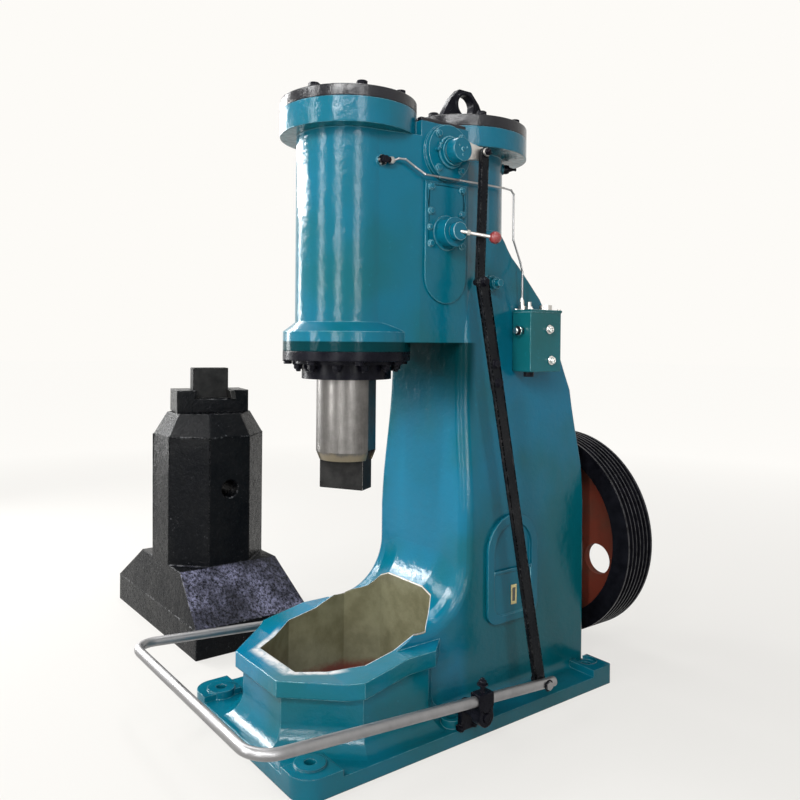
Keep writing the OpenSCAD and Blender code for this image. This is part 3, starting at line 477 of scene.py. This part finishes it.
PAINT = {
    "frame": ["base_casting", "column_casting", "cylinder_block"],
    "teal": ["upper_valve_flange", "upper_valve_cap_left", "valve_side_plate", "valve_side_plate_left",
             "lower_valve_ring", "lower_valve_cap_left", "side_plug", "inspection_cover",
             "inspection_cover_left", "crank_bearing"],
    "lub": ["lubricator"],
    "cover": ["front_cylinder_cover", "rear_cylinder_cover", "valve_chest_cover"],
    "black": ["front_cover_plug", "lifting_eye", "gland_plate", "gland_ring", "treadle_clamp_right",
              "treadle_clamp_left", "pivot_bracket_right", "pivot_bracket_left", "lubricator_gauge",
              "pipe_elbow", "grease_nipple"],
    "link": ["link_upper", "link_lower"],
    "iron": ["anvil", "sow_block"],
    "ram": ["ram"],
    "steel": ["upper_valve_lever", "hand_lever", "crankshaft", "lubricator_fittings"],
    "pipe": ["oil_pipe_front", "oil_pipe_riser"],
    "tube": ["treadle"],
    "die": ["upper_die", "lower_die", "die_wedge"],
    "wheel": ["flywheel"],
    "knob": ["hand_lever_knob"],
}
for key, nodes in PAINT.items():
    for node in nodes:
        materials = NODES[node].data.materials
        materials.clear()
        materials.append(M[key])


# ---------------------------------------------------------------- softened edges on the CAD pieces
def soften(node, width):
    """Joins the faces' edges and rounds the sharp ones, with modifiers only."""
    o = NODES[node]
    weld = o.modifiers.new("weld", "WELD")
    weld.merge_threshold = 1e-5
    bevel = o.modifiers.new("rounded_edges", "BEVEL")
    bevel.width, bevel.segments = width, 2
    bevel.limit_method, bevel.angle_limit = "ANGLE", math.radians(38)
    bevel.use_clamp_overlap = False
    bevel.miter_outer = "MITER_ARC"
    normals = o.modifiers.new("normals", "WEIGHTED_NORMAL")
    normals.keep_sharp = False
    normals.weight = 60


SOFT_EDGES = {
    0.003: ["front_cylinder_cover", "rear_cylinder_cover", "lubricator", "sow_block", "anvil"],
    0.002: ["gland_plate", "upper_die", "lower_die", "lifting_eye", "valve_chest_cover", "link_upper",
            "link_lower", "treadle_clamp_right", "treadle_clamp_left", "inspection_cover",
            "inspection_cover_left"],
    0.0015: ["valve_side_plate", "valve_side_plate_left"],
}
for width, nodes in SOFT_EDGES.items():
    for node in nodes:
        soften(node, width)


# ---------------------------------------------------------------- mesh helpers
SMOOTH_BELOW = math.radians(35)
SIDES = ((1, "right"), (-1, "left"))


def finish_mesh(name, bm, material, body):
    """Makes the mesh a piece that rides with a body; edges under SMOOTH_BELOW are shaded smooth."""
    me = bpy.data.meshes.new(name)
    bmesh.ops.remove_doubles(bm, verts=bm.verts, dist=1e-6)
    bmesh.ops.recalc_face_normals(bm, faces=bm.faces)
    for f in bm.faces:
        f.smooth = True
    for e in bm.edges:
        e.smooth = len(e.link_faces) == 2 and e.calc_face_angle(0) < SMOOTH_BELOW
    bm.to_mesh(me)
    bm.free()
    o = add_object(name, me)
    me.materials.append(material)
    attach(o, body)


def frame_at(point, axis, turn=0.0):
    """Local Z along axis, at a point."""
    q = Vector(axis).normalized().to_track_quat("Z", "Y").to_matrix().to_4x4()
    return Matrix.Translation(Vector(point)) @ q @ Matrix.Rotation(turn, 4, "Z")


def evenly(n, start=0):
    """The degrees of n places round a circle."""
    return [start + 360 * i / n for i in range(n)]


def ring_of(turns, radius, centre, u=0, v=1):
    """Places on a circle in the plane of the axes u and v, each with its angle."""
    for turn in turns:
        a = math.radians(turn)
        p = list(centre)
        p[u] += radius * math.cos(a)
        p[v] += radius * math.sin(a)
        yield Vector(p), a


def circle(bm, where, r, h, n):
    """Vertices round local Z at height h."""
    turns = [2 * math.pi * i / n for i in range(n)]
    return [bm.verts.new(where @ Vector((r * math.cos(a), r * math.sin(a), h))) for a in turns]


def skin(bm, loops):
    """Quads from each loop of vertices to the next."""
    for a, b in zip(loops, loops[1:]):
        for i in range(len(a)):
            j = (i + 1) % len(a)
            bm.faces.new((a[i], a[j], b[j], b[i]))


def lathe(bm, profile, where, segments):
    """A profile of (radius, height) turned about local Z, closed at an end where its radius is 0."""
    rings = []
    for r, h in profile:
        if r < 1e-7:
            rings.append([bm.verts.new(where @ Vector((0, 0, h)))])
        else:
            rings.append(circle(bm, where, r, h, segments))
    for a, b in zip(rings, rings[1:]):
        for i in range(segments):
            j = (i + 1) % segments
            if len(a) == 1 and len(b) > 1:
                bm.faces.new((a[0], b[i], b[j]))
            elif len(b) == 1 and len(a) > 1:
                bm.faces.new((a[i], b[0], a[j]))
            elif len(a) > 1:
                bm.faces.new((a[i], b[i], b[j], a[j]))


def hexagon(bm, across, h0, h1, where):
    """A hexagon head or nut from h0 to h1 with its corners turned off at the top."""
    flat, sixth = across / 2, math.pi / 3
    corner = flat / math.cos(sixth / 2)
    loops = []
    for limit, h in ((corner, h0), (corner, h1 - (h1 - h0) * 0.12), (flat * 0.985, h1)):
        loop = []
        for i in range(24):
            a = 2 * math.pi * i / 24
            r = min(flat / math.cos(a % sixth - sixth / 2), limit)
            loop.append(bm.verts.new(where @ Vector((r * math.cos(a), r * math.sin(a), h))))
        loops.append(loop)
    skin(bm, loops)
    bm.faces.new(loops[-1])
    bm.faces.new(list(reversed(loops[0])))


def hex_bolt(bm, where, m, head=0.65):
    """A hexagon bolt head on a washer, for thread size m."""
    lathe(bm, [(m * 0.35, 0), (m * 1.12, 0), (m * 1.12, m * 0.13), (m * 1.04, m * 0.17),
               (m * 0.35, m * 0.17)], where, 28)
    hexagon(bm, m * 1.55, m * 0.16, m * 0.16 + m * head, where)


def stud_nut(bm, where, m, stick):
    """A nut on a washer, with the stud's end standing out of it."""
    hex_bolt(bm, where, m, 0.85)
    lathe(bm, [(m * 0.48, m * 0.9), (m * 0.48, m * (1.0 + stick)), (m * 0.36, m * (1.12 + stick)),
               (0, m * (1.12 + stick))], where, 16)


def socket_screw(bm, where, m, height):
    """A round head with a sunk socket."""
    r, h, s = m * 0.78, m * height, m * 0.46
    lathe(bm, [(0, 0), (r * 0.96, 0), (r, m * 0.05), (r, h * 0.90), (r * 0.90, h), (s, h)], where, 28)
    socket = [circle(bm, where, s, h, 28), circle(bm, where, s * 0.86, h * 0.45, 28)]
    skin(bm, socket)
    bm.faces.new(socket[-1])


def round_screw(bm, where, r, h):
    """A painted-over round or cheese head."""
    lathe(bm, [(0, 0), (r, 0), (r, h * 0.55), (r * 0.86, h * 0.88), (r * 0.5, h), (0, h)], where, 20)


def box_mesh(bm, lo, hi, bevel):
    """A box with rounded edges."""
    lo, hi = Vector(lo), Vector(hi)
    place = Matrix.Translation((lo + hi) / 2) @ Matrix.Diagonal((*(hi - lo), 1))
    geom = bmesh.ops.create_cube(bm, size=1.0, matrix=place)
    edges = list(dict.fromkeys(e for v in geom["verts"] for e in v.link_edges))
    bmesh.ops.bevel(bm, geom=edges, offset=bevel, segments=3, affect="EDGES", profile=0.5)


def tube(bm, points, radius, sides):
    """A round tube swept along points, with closed ends."""
    loops = []
    side = None
    for i, p in enumerate(points):
        along = (points[min(i + 1, len(points) - 1)] - points[max(i - 1, 0)]).normalized()
        if side is None:
            side = along.orthogonal().normalized()
        side = (side - along * side.dot(along)).normalized()
        other = along.cross(side)
        turns = [2 * math.pi * k / sides for k in range(sides)]
        loops.append([bm.verts.new(p + (side * math.cos(a) + other * math.sin(a)) * radius) for a in turns])
    skin(bm, loops)
    bm.faces.new(list(reversed(loops[0])))
    bm.faces.new(loops[-1])


# ---------------------------------------------------------------- cylinder covers, gland and lifting eye
COVER_BOLT_INSET = 0.026
for name, centre, radius, face in (
        ("front_cover_bolts", RAM, FLANGE_R, low("front_cylinder_cover").z + 0.033),
        ("rear_cover_bolts", REAR, REAR_R, REAR_TOP)):
    bm = bmesh.new()
    for p, a in ring_of(evenly(8, 22.5), radius - COVER_BOLT_INSET, (centre.x, centre.y, face)):
        hex_bolt(bm, frame_at(p, Z, a), 0.018)
    finish_mesh(name, bm, M["black"], "frame")

# heads under the gland plate and round the gland ring
GLAND_UNDER = low("gland_plate").z
bm = bmesh.new()
for p, a in ring_of(evenly(8, 22.5), 0.1745, (RAM.x, RAM.y, GLAND_UNDER)):
    hex_bolt(bm, frame_at(p, -Z, a), 0.0135)
finish_mesh("gland_plate_bolts", bm, M["black"], "frame")
bm = bmesh.new()
for p, a in ring_of(evenly(12, 15), 0.147, (RAM.x, RAM.y, GLAND_UNDER - 0.010)):
    stud_nut(bm, frame_at(p, -Z, a + 0.3), 0.0150, 0.35)
finish_mesh("gland_ring_nuts", bm, M["black"], "frame")

# heads on the lifting eye's feet
bm = bmesh.new()
for dx in (-0.032, 0.032):
    for dy in (-0.084, 0.084):
        hex_bolt(bm, frame_at((dx, mid("lifting_eye").y + dy, REAR_TOP + 0.010), Z, 0.3), 0.016)
finish_mesh("lifting_eye_bolts", bm, M["black"], "frame")

# ---------------------------------------------------------------- valves, both sides alike
VALVE_Y = (low("valve_side_plate").y + high("valve_side_plate").y) / 2
DISC_FACE = low("upper_valve_flange").x + 0.012
DISC_Z = (low("upper_valve_flange").z + high("upper_valve_flange").z) / 2
RING_Z = (low("lower_valve_ring").z + high("lower_valve_ring").z) / 2
PLATE_FACE = high("valve_side_plate").x
PLATE_TOP = high("valve_side_plate").z
for side, tag in SIDES:
    out = X * side
    bm = bmesh.new()
    for p, a in ring_of((-48, 48, 132, 228), 0.066, (side * DISC_FACE, VALVE_Y, DISC_Z), 1, 2):
        hex_bolt(bm, frame_at(p, out, a), 0.0105)
    finish_mesh(f"valve_disc_bolts_{tag}", bm, M["teal"], "frame")
    bm = bmesh.new()
    for y in (-0.060, 0.060):
        for z in (RING_Z - 0.034, RING_Z + 0.060, PLATE_TOP - 0.016):
            hex_bolt(bm, frame_at((side * PLATE_FACE, VALVE_Y + y, z), out, 0.2 + y * 9), 0.0105)
    finish_mesh(f"valve_plate_bolts_{tag}", bm, M["teal"], "frame")
    # collar and three screws at the root of the upper hub
    bm = bmesh.new()
    root = frame_at((side * DISC_FACE, VALVE_Y, DISC_Z), out)
    lathe(bm, [(0.0405, 0), (0.0475, 0), (0.0475, 0.0065), (0.0455, 0.0085), (0.0405, 0.0085)], root, 40)
    for y, z in ((-0.034, 0.024), (-0.030, 0.008), (-0.047, 0.0015)):
        at = (side * (DISC_FACE + 0.002), VALVE_Y + y * 1.12, DISC_Z + z)
        round_screw(bm, frame_at(at, out), 0.0055, 0.012)
    finish_mesh(f"valve_hub_collar_{tag}", bm, M["teal"], "frame")

# the valve lever's end: a painted cap with a screw in its middle and three small ones round it
STUB_END = (0.252, VALVE_Y, DISC_Z)
bm = bmesh.new()
end = frame_at(STUB_END, X)
lathe(bm, [(0.0335, -0.034), (0.0352, -0.034), (0.0352, -0.003), (0.0335, 0.0004), (0, 0.0004)], end, 48)
lathe(bm, [(0, 0.0), (0.0055, 0.0), (0.0055, 0.0022), (0.0035, 0.003), (0, 0.003)], end, 18)
for p, _ in ring_of(evenly(3, 25), 0.017, STUB_END, 1, 2):
    lathe(bm, [(0, 0), (0.0022, 0), (0.0022, 0.0012), (0, 0.0014)], frame_at(p, X), 10)
finish_mesh("valve_lever_end", bm, M["teal"], "valve_lever")

# ---------------------------------------------------------------- linkage
# the link: bolts on its outer face, and the nut behind its joint
LEVER_Y = VALVE_Y + 0.079
JOINT = Vector((0.2689, LEVER_Y - 0.0125, 1.283))  # middle of the lower bar's upper eye
LINK_FOOT = Vector((0.369, 0.178, 0.1202))  # middle of its lower eye
down = LINK_FOOT - JOINT
outward = Vector((-down.z, 0, down.x)).normalized()
bm = bmesh.new()
hex_bolt(bm, frame_at(JOINT + X * 0.006, X, 0.4), 0.014)
hex_bolt(bm, frame_at(JOINT + down * 0.252 + outward * 0.0058, outward, 0.1), 0.013)
hex_bolt(bm, frame_at(JOINT + down * 0.205 + outward * 0.0058, outward, 0.5), 0.013)
stud_nut(bm, frame_at(JOINT - X * 0.0193, -X, 0.2), 0.012, 0.3)
finish_mesh("link_clamp_bolts", bm, M["black"], "link")

# the pin between link and valve lever
bm = bmesh.new()
end = frame_at((high("upper_valve_lever").x, LEVER_Y, DISC_Z), X)
hexagon(bm, 0.019, -0.0004, 0.008, end)
lathe(bm, [(0.0055, 0.0075), (0.0055, 0.0115), (0.0042, 0.013), (0, 0.013)], end, 16)
finish_mesh("lever_pin_nut", bm, M["black"], "valve_lever")

# the pin between link and treadle: washer and nut inside, washer outside
bm = bmesh.new()
inner = frame_at((LINK_FOOT.x - 0.009, LINK_FOOT.y, LINK_FOOT.z), -X)
lathe(bm, [(0.0075, -0.0004), (0.0145, -0.0004), (0.0145, 0.0022), (0.0075, 0.0022)], inner, 28)
hexagon(bm, 0.0215, 0.002, 0.0125, inner)
lathe(bm, [(0.0068, 0.012), (0.0068, 0.0165), (0.0052, 0.018), (0, 0.018)], inner, 16)
outer = frame_at((high("treadle").x - 0.0072, LINK_FOOT.y, LINK_FOOT.z), X)
lathe(bm, [(0.0126, 0), (0.0165, 0), (0.0165, 0.0018), (0.0126, 0.0018)], outer, 30)
finish_mesh("treadle_link_pin_ends", bm, M["black"], "treadle")

# treadle clamps: washers under the stud nuts, studs' ends, set screws in front and back
PIVOT = Vector((0, -0.072, 0.098))
for side, tag in SIDES:
    out = X * side
    node = f"treadle_clamp_{tag}"
    clamp_x, clamp_top = mid(node).x, high(node).z
    bm = bmesh.new()
    where = frame_at((clamp_x, PIVOT.y, clamp_top - 0.009), -Z)
    lathe(bm, [(0.0058, 0), (0.0155, 0), (0.0155, 0.0026), (0.0058, 0.0026)], where, 30)
    where = frame_at((clamp_x, PIVOT.y, clamp_top), Z)
    lathe(bm, [(0.0056, -0.001), (0.0056, 0.005), (0.0042, 0.0065), (0, 0.0065)], where, 16)
    for y in (-1, 1):
        socket_screw(bm, frame_at((clamp_x, PIVOT.y + y * 0.0268, 0.146), Y * y, 0.3), 0.008, 0.7)
    finish_mesh(f"treadle_clamp_screws_{tag}", bm, M["black"], "treadle")
    # pivot end ring and its split pin
    bm = bmesh.new()
    tip = side * (high("pivot_bracket_right").x - 0.004)
    lathe(bm, [(0.0115, -0.012), (0.0165, -0.012), (0.0175, -0.0108), (0.0175, -0.0042), (0.0165, -0.003),
               (0.0115, -0.003)], frame_at((tip, PIVOT.y, PIVOT.z), out), 32)
    pin = [Vector((tip - side * 0.0075, PIVOT.y, PIVOT.z + d)) for d in (-0.022, 0, 0.0205)]
    tube(bm, pin, 0.0016, 8)
    finish_mesh(f"pivot_end_ring_{tag}", bm, M["black"], "frame")
    # screws that hold the bracket to the base
    bm = bmesh.new()
    face = side * (high("base_casting").x + 0.006)
    for y in (-0.0245, 0.0245):
        hex_bolt(bm, frame_at((face, PIVOT.y + y, 0.045), out, 0.2), 0.008)
    finish_mesh(f"pivot_bracket_screws_{tag}", bm, M["black"], "frame")

# hand lever: the hexagon where the rod is screwed in, and the painted cap of its boss
ROD_FOOT = Vector((0.240, VALVE_Y, RING_Z))
rod = Vector((0.290, VALVE_Y + 0.081, RING_Z - 0.015)) - ROD_FOOT
bm = bmesh.new()
hexagon(bm, 0.0155, 0.022, 0.031, frame_at(ROD_FOOT, rod))
finish_mesh("hand_lever_nut", bm, M["steel"], "hand_lever")
bm = bmesh.new()
lathe(bm, [(0.0268, -0.0185), (0.0268, -0.0015), (0.0253, 0.0004), (0, 0.0004)],
      frame_at((0.245, VALVE_Y, RING_Z), X), 48)
finish_mesh("hand_lever_boss", bm, M["teal"], "hand_lever")

# flange of the lower ring and the screw beside it, one on each side
for side, tag in SIDES:
    out = X * side
    bm = bmesh.new()
    hex_bolt(bm, frame_at((side * PLATE_FACE, VALVE_Y - 0.064, RING_Z + 0.013), out, 0.4), 0.009)
    ring = frame_at((side * (PLATE_FACE - 0.001), VALVE_Y, RING_Z), out)
    lathe(bm, [(0.0425, 0.0), (0.0515, 0.0), (0.0515, 0.003), (0.0495, 0.0045), (0.0425, 0.0045)], ring, 48)
    finish_mesh(f"lower_ring_flange_{tag}", bm, M["teal"], "frame")

# ---------------------------------------------------------------- drive
# crank bearing bolts and the lip round its seal
BEARING = mid("crank_bearing")
bm = bmesh.new()
for p, a in ring_of(evenly(6), 0.096, (BEARING.x, low("crank_bearing").y + 0.012, BEARING.z), 0, 2):
    hex_bolt(bm, frame_at(p, Y, a), 0.012)
lip = frame_at((BEARING.x, high("crank_bearing").y, BEARING.z), Y)
lathe(bm, [(0.047, -0.001), (0.050, -0.001), (0.050, 0.004), (0.0485, 0.0055), (0.0445, 0.0055),
           (0.043, 0.004), (0.043, -0.001)], lip, 48)
finish_mesh("crank_bearing_bolts", bm, M["teal"], "frame")

# flywheel hub: end ring with three screws, and the key
WHEEL_FACE = high("flywheel").y
bm = bmesh.new()
hub = frame_at((WHEEL.x, WHEEL_FACE - 0.0062, WHEEL.z), Y)
lathe(bm, [(0.0346, 0), (0.058, 0), (0.058, 0.0045), (0.0565, 0.0058), (0.0346, 0.0058)], hub, 56)
for p, _ in ring_of(evenly(3, 30), 0.047, (WHEEL.x, WHEEL_FACE - 0.0006, WHEEL.z), 0, 2):
    socket_screw(bm, frame_at(p, Y), 0.0075, 0.5)
box_mesh(bm, (-0.006, WHEEL_FACE - 0.03, WHEEL.z + 0.028), (0.006, WHEEL_FACE + 0.0012, WHEEL.z + 0.040),
         0.0008)
finish_mesh("flywheel_end_ring", bm, M["black"], "flywheel_and_shaft")

# ---------------------------------------------------------------- lubricator, pipes and plate
# lid screws and two plated socket screws
bm = bmesh.new()
for x in (LUB_LOW.x + 0.010, LUB_HIGH.x - 0.008):
    for y in (LUB_LOW.y + 0.008, LUB_HIGH.y - 0.008):
        round_screw(bm, frame_at((x, y, LUB_HIGH.z - 0.0002), Z), 0.0058, 0.0042)
finish_mesh("lubricator_lid_screws", bm, M["steel"], "frame")
LUB_SIDE = LUB_HIGH.x - 0.002
bm = bmesh.new()
for y, z in ((0.328, 1.150), (0.338, 1.053)):
    where = frame_at((LUB_SIDE - 0.0002, y, z), X, 0.3)
    lathe(bm, [(0.009, 0), (0.0145, 0), (0.0145, 0.0018), (0.0135, 0.0026), (0.009, 0.0026)], where, 32)
    socket_screw(bm, frame_at((LUB_SIDE + 0.0022, y, z), X, 0.3), 0.0135, 0.62)
finish_mesh("lubricator_plated_screws", bm, M["chrome"], "frame")

# its gauge: nuts, two rails, a plug in front, and the sight glass
GAUGE_LOW, GAUGE_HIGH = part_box("lubricator_gauge")
GLASS_X, GLASS_Z = LUB_LOW.x + 0.043, LUB_LOW.z + 0.030
bm = bmesh.new()
for z in (GLASS_Z + 0.014, GLASS_Z + 0.114):
    hexagon(bm, 0.019, 0, 0.009, frame_at((GLASS_X, GAUGE_HIGH.y, z), Y))
for sx in (-1, 1):
    box_mesh(bm, (GLASS_X + sx * 0.0125 - 0.002, GAUGE_HIGH.y - 0.0004, GLASS_Z + 0.024),
             (GLASS_X + sx * 0.0125 + 0.002, GAUGE_HIGH.y + 0.004, GLASS_Z + 0.104), 0.0008)
plug = frame_at((LUB_LOW.x + 0.038, GAUGE_LOW.y, LUB_LOW.z + 0.128), -Y)
hexagon(bm, 0.0185, -0.0005, 0.008, plug)
lathe(bm, [(0.0145, -0.012), (0.0155, -0.012), (0.0155, -0.004), (0.0145, -0.004)], plug, 32)
finish_mesh("lubricator_gauge_frame", bm, M["chrome"], "frame")
bm = bmesh.new()
glass = [Vector((GLASS_X, GAUGE_HIGH.y + 0.003, GLASS_Z + dz)) for dz in (0.023, 0.064, 0.105)]
tube(bm, glass, 0.0065, 20)
finish_mesh("lubricator_sight_glass", bm, M["glass"], "frame")

# bare plate on the inspection cover: thin brass rim round a dark field
FRONT, BACK, FOOT, TOP = 0.2085, 0.2315, 0.298, 0.358
COVER_X = high("inspection_cover").x - 0.004
RIM = 0.0045
bm = bmesh.new()
for y0, y1, z0, z1 in ((FRONT, FRONT + RIM, FOOT, TOP), (BACK - RIM, BACK, FOOT, TOP),
                       (FRONT + RIM, BACK - RIM, FOOT, FOOT + RIM * 2),
                       (FRONT + RIM, BACK - RIM, TOP - RIM * 2, TOP)):
    box_mesh(bm, (COVER_X, y0, z0), (COVER_X + 0.0022, y1, z1), 0.0004)
for z in (FOOT + RIM, TOP - RIM):
    round_screw(bm, frame_at((COVER_X + 0.002, (FRONT + BACK) / 2, z), X), 0.002, 0.0014)
finish_mesh("cover_plate_rim", bm, M["brass"], "frame")
bm = bmesh.new()
box_mesh(bm, (COVER_X - 0.0004, FRONT + RIM * 0.8, FOOT + RIM),
         (COVER_X + 0.0012, BACK - RIM * 0.8, TOP - RIM), 0.0003)
finish_mesh("cover_plate_field", bm, M["glass"], "frame")

# oil pipe: union nuts at the elbow, at the front cover and at the lubricator's inlet
bm = bmesh.new()
ELBOW_LOW, ELBOW_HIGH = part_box("pipe_elbow")
PIPE_Z = DISC_Z - 0.047
elbow_end = Vector((0.172, ELBOW_HIGH.y, PIPE_Z))
hexagon(bm, 0.0185, -0.0005, 0.010, frame_at(elbow_end - Y * 0.004, Y))
lathe(bm, [(0.0031, 0.0), (0.0062, 0.0), (0.0062, 0.004), (0.0042, 0.007), (0.0031, 0.007)],
      frame_at(elbow_end + Y * 0.0055, Y), 20)
root = frame_at((ELBOW_LOW.x + 0.004, mid("front_cylinder_cover").y + 0.006, PIPE_Z), X)
hexagon(bm, 0.027, -0.004, 0.004, root)
inlet = frame_at((LUB_LOW.x + 0.022, LUB_LOW.y + 0.020, LUB_HIGH.z + 0.026), Z)
hexagon(bm, 0.0135, -0.003, 0.006, inlet)
lathe(bm, [(0.0031, 0.006), (0.005, 0.006), (0.005, 0.009), (0.0038, 0.0115), (0.0031, 0.0115)], inlet, 20)
finish_mesh("oil_pipe_nuts", bm, M["steel"], "frame")

# grease nipple: its hexagon and the ball at its tip
NIPPLE_TURN = math.radians(56)
axis = Vector((math.cos(NIPPLE_TURN), math.sin(NIPPLE_TURN), 0))
root = frame_at(Vector((REAR.x, REAR.y, mid("grease_nipple").z)) + axis * 0.157, axis)
bm = bmesh.new()
hexagon(bm, 0.0250, -0.001, 0.0065, root)
lathe(bm, [(0.0042, 0.020), (0.0036, 0.0255), (0.0052, 0.0275), (0.0052, 0.0295), (0.0035, 0.0315),
           (0, 0.032)], root, 20)
finish_mesh("grease_nipple_head", bm, M["black"], "frame")

# ---------------------------------------------------------------- stage and light
BACKGROUND = (0.983, 0.965, 0.930, 1)
SKY = (0.86, 0.93, 1.0, 1)
FLOOR_UNSEEN = (0.50, 0.50, 0.45, 1)  # what the floor throws back on the part
GLOW_RAMP = (1.2, 6.0, 0.248)  # the floor's glow rises between two distances from the origin, by so much


def empty_tree(owner):
    owner.use_nodes = True
    owner.node_tree.nodes.clear()
    return owner.node_tree


def add_nodes(t, *kinds):
    return [t.nodes.new("ShaderNode" + kind) for kind in kinds]


def join(t, *pairs):
    for output, socket in pairs:
        t.links.new(output, socket)


def seen_directly(t):
    """1 for camera, glossy and transmission rays."""
    path, = add_nodes(t, "LightPath")
    total = path.outputs["Is Camera Ray"]
    for name in ("Is Glossy Ray", "Is Transmission Ray"):
        n, = add_nodes(t, "Math")
        n.operation = "MAXIMUM"
        join(t, (total, n.inputs[0]), (path.outputs[name], n.inputs[1]))
        total = n.outputs[0]
    return total


def make_world(strength):
    """A faint sky that lights the part, and a plain background for what is seen directly."""
    w = bpy.data.worlds.new("studio")
    bpy.context.scene.world = w
    t = empty_tree(w)
    out, light, seen, mix = add_nodes(t, "OutputWorld", "Background", "Background", "MixShader")
    light.inputs["Color"].default_value = SKY
    light.inputs["Strength"].default_value = strength
    seen.inputs["Color"].default_value = BACKGROUND
    join(t, (seen_directly(t), mix.inputs[0]), (light.outputs[0], mix.inputs[1]),
         (seen.outputs[0], mix.inputs[2]), (mix.outputs[0], out.inputs[0]))


def make_floor(glow, albedo):
    """A wide pale floor: part glow, which meets the background, part diffuse, which takes the shadow."""
    bm = bmesh.new()
    bmesh.ops.create_grid(bm, x_segments=2, y_segments=2, size=40)
    me = bpy.data.meshes.new("floor")
    bm.to_mesh(me)
    bm.free()
    o = add_object("floor", me)
    o.location.z = -0.0005
    m = bpy.data.materials.new("pale_floor")
    t = empty_tree(m)
    out, add, diffuse, glowing, mix = add_nodes(t, "OutputMaterial", "AddShader", "BsdfDiffuse", "Emission",
                                                "MixShader")
    unseen, place, far, level = add_nodes(t, "BsdfDiffuse", "TexCoord", "VectorMath", "MapRange")
    unseen.inputs["Color"].default_value = FLOOR_UNSEEN
    diffuse.inputs["Color"].default_value = (*toned(BACKGROUND[:3], albedo), 1)
    glowing.inputs["Color"].default_value = BACKGROUND
    far.operation = "LENGTH"
    near, wide, rise = GLOW_RAMP
    for name, v in zip(("From Min", "From Max", "To Min", "To Max"), (near, wide, glow, glow + rise)):
        level.inputs[name].default_value = v
    join(t, (place.outputs["Object"], far.inputs[0]), (far.outputs["Value"], level.inputs["Value"]),
         (level.outputs[0], glowing.inputs["Strength"]),
         (diffuse.outputs[0], add.inputs[0]), (glowing.outputs[0], add.inputs[1]),
         (seen_directly(t), mix.inputs[0]), (unseen.outputs[0], mix.inputs[1]),
         (add.outputs[0], mix.inputs[2]), (mix.outputs[0], out.inputs[0]))
    me.materials.append(m)


def add_light(name, kind, energy, colour, direction):
    d = bpy.data.lights.new(name, kind)
    d.energy, d.color = energy, colour
    o = add_object(name, d)
    o.rotation_mode = "QUATERNION"
    o.rotation_quaternion = Vector(direction).to_track_quat("-Z", "Y")
    return o, d


def sun(name, towards, strength, angle, colour=(1, 1, 1)):
    """Soft even light travelling along towards."""
    _, d = add_light(name, "SUN", strength, colour, towards)
    d.angle = math.radians(angle)


def panel(name, at, aim, size, watts):
    """A soft box, unseen by the camera."""
    o, d = add_light(name, "AREA", watts, (1, 1, 1), Vector(aim) - Vector(at))
    d.shape, (d.size, d.size_y) = "RECTANGLE", size
    o.location = at
    o.visible_camera = False


make_world(strength=0.26)
make_floor(glow=0.71, albedo=0.10)
sun("key_from_front_left", (0.75, 0.9, -1.1), 0.38, 25)
sun("fill_from_right", (-1.0, 0.15, -0.55), 0.25, 40, (0.92, 0.97, 1))
# upright strips round the front, whose images stand as streaks on the cylinder
STRIP_AWAY, STRIP_TALL = 3.5, 3.0
STRIPS = ((-161, 0.34, 92), (-92, 0.24, 72), (-54, 0.20, 64), (-14, 0.18, 54))  # degrees, width, watts
for i, (turn, width, watts) in enumerate(STRIPS):
    at, _ = next(ring_of([turn], STRIP_AWAY, (RAM.x, RAM.y, 1.9)))
    panel(f"strip_{i}", at, (RAM.x, RAM.y, 1.2), (width, STRIP_TALL), watts)
panel("high_front", (2.5, -2.6, 3.3), (0, -0.2, 1.6), (2.0, 0.6), 100)
panel("high_left", (-0.9, -3.4, 3.4), (0, -0.2, 1.6), (1.8, 0.5), 70)
panel("overhead", (-0.9, 0.2, 3.6), (0, 0.1, 0.8), (0.30, 3.2), 60)
panel("sweep_light", (-2.7, -1.5, 2.15), (0, -0.1, 0.5), (2.2, 0.24), 115)
panel("left_high", (-2.5, -0.3, 2.4), (0, -0.1, 0.4), (1.2, 0.3), 18)
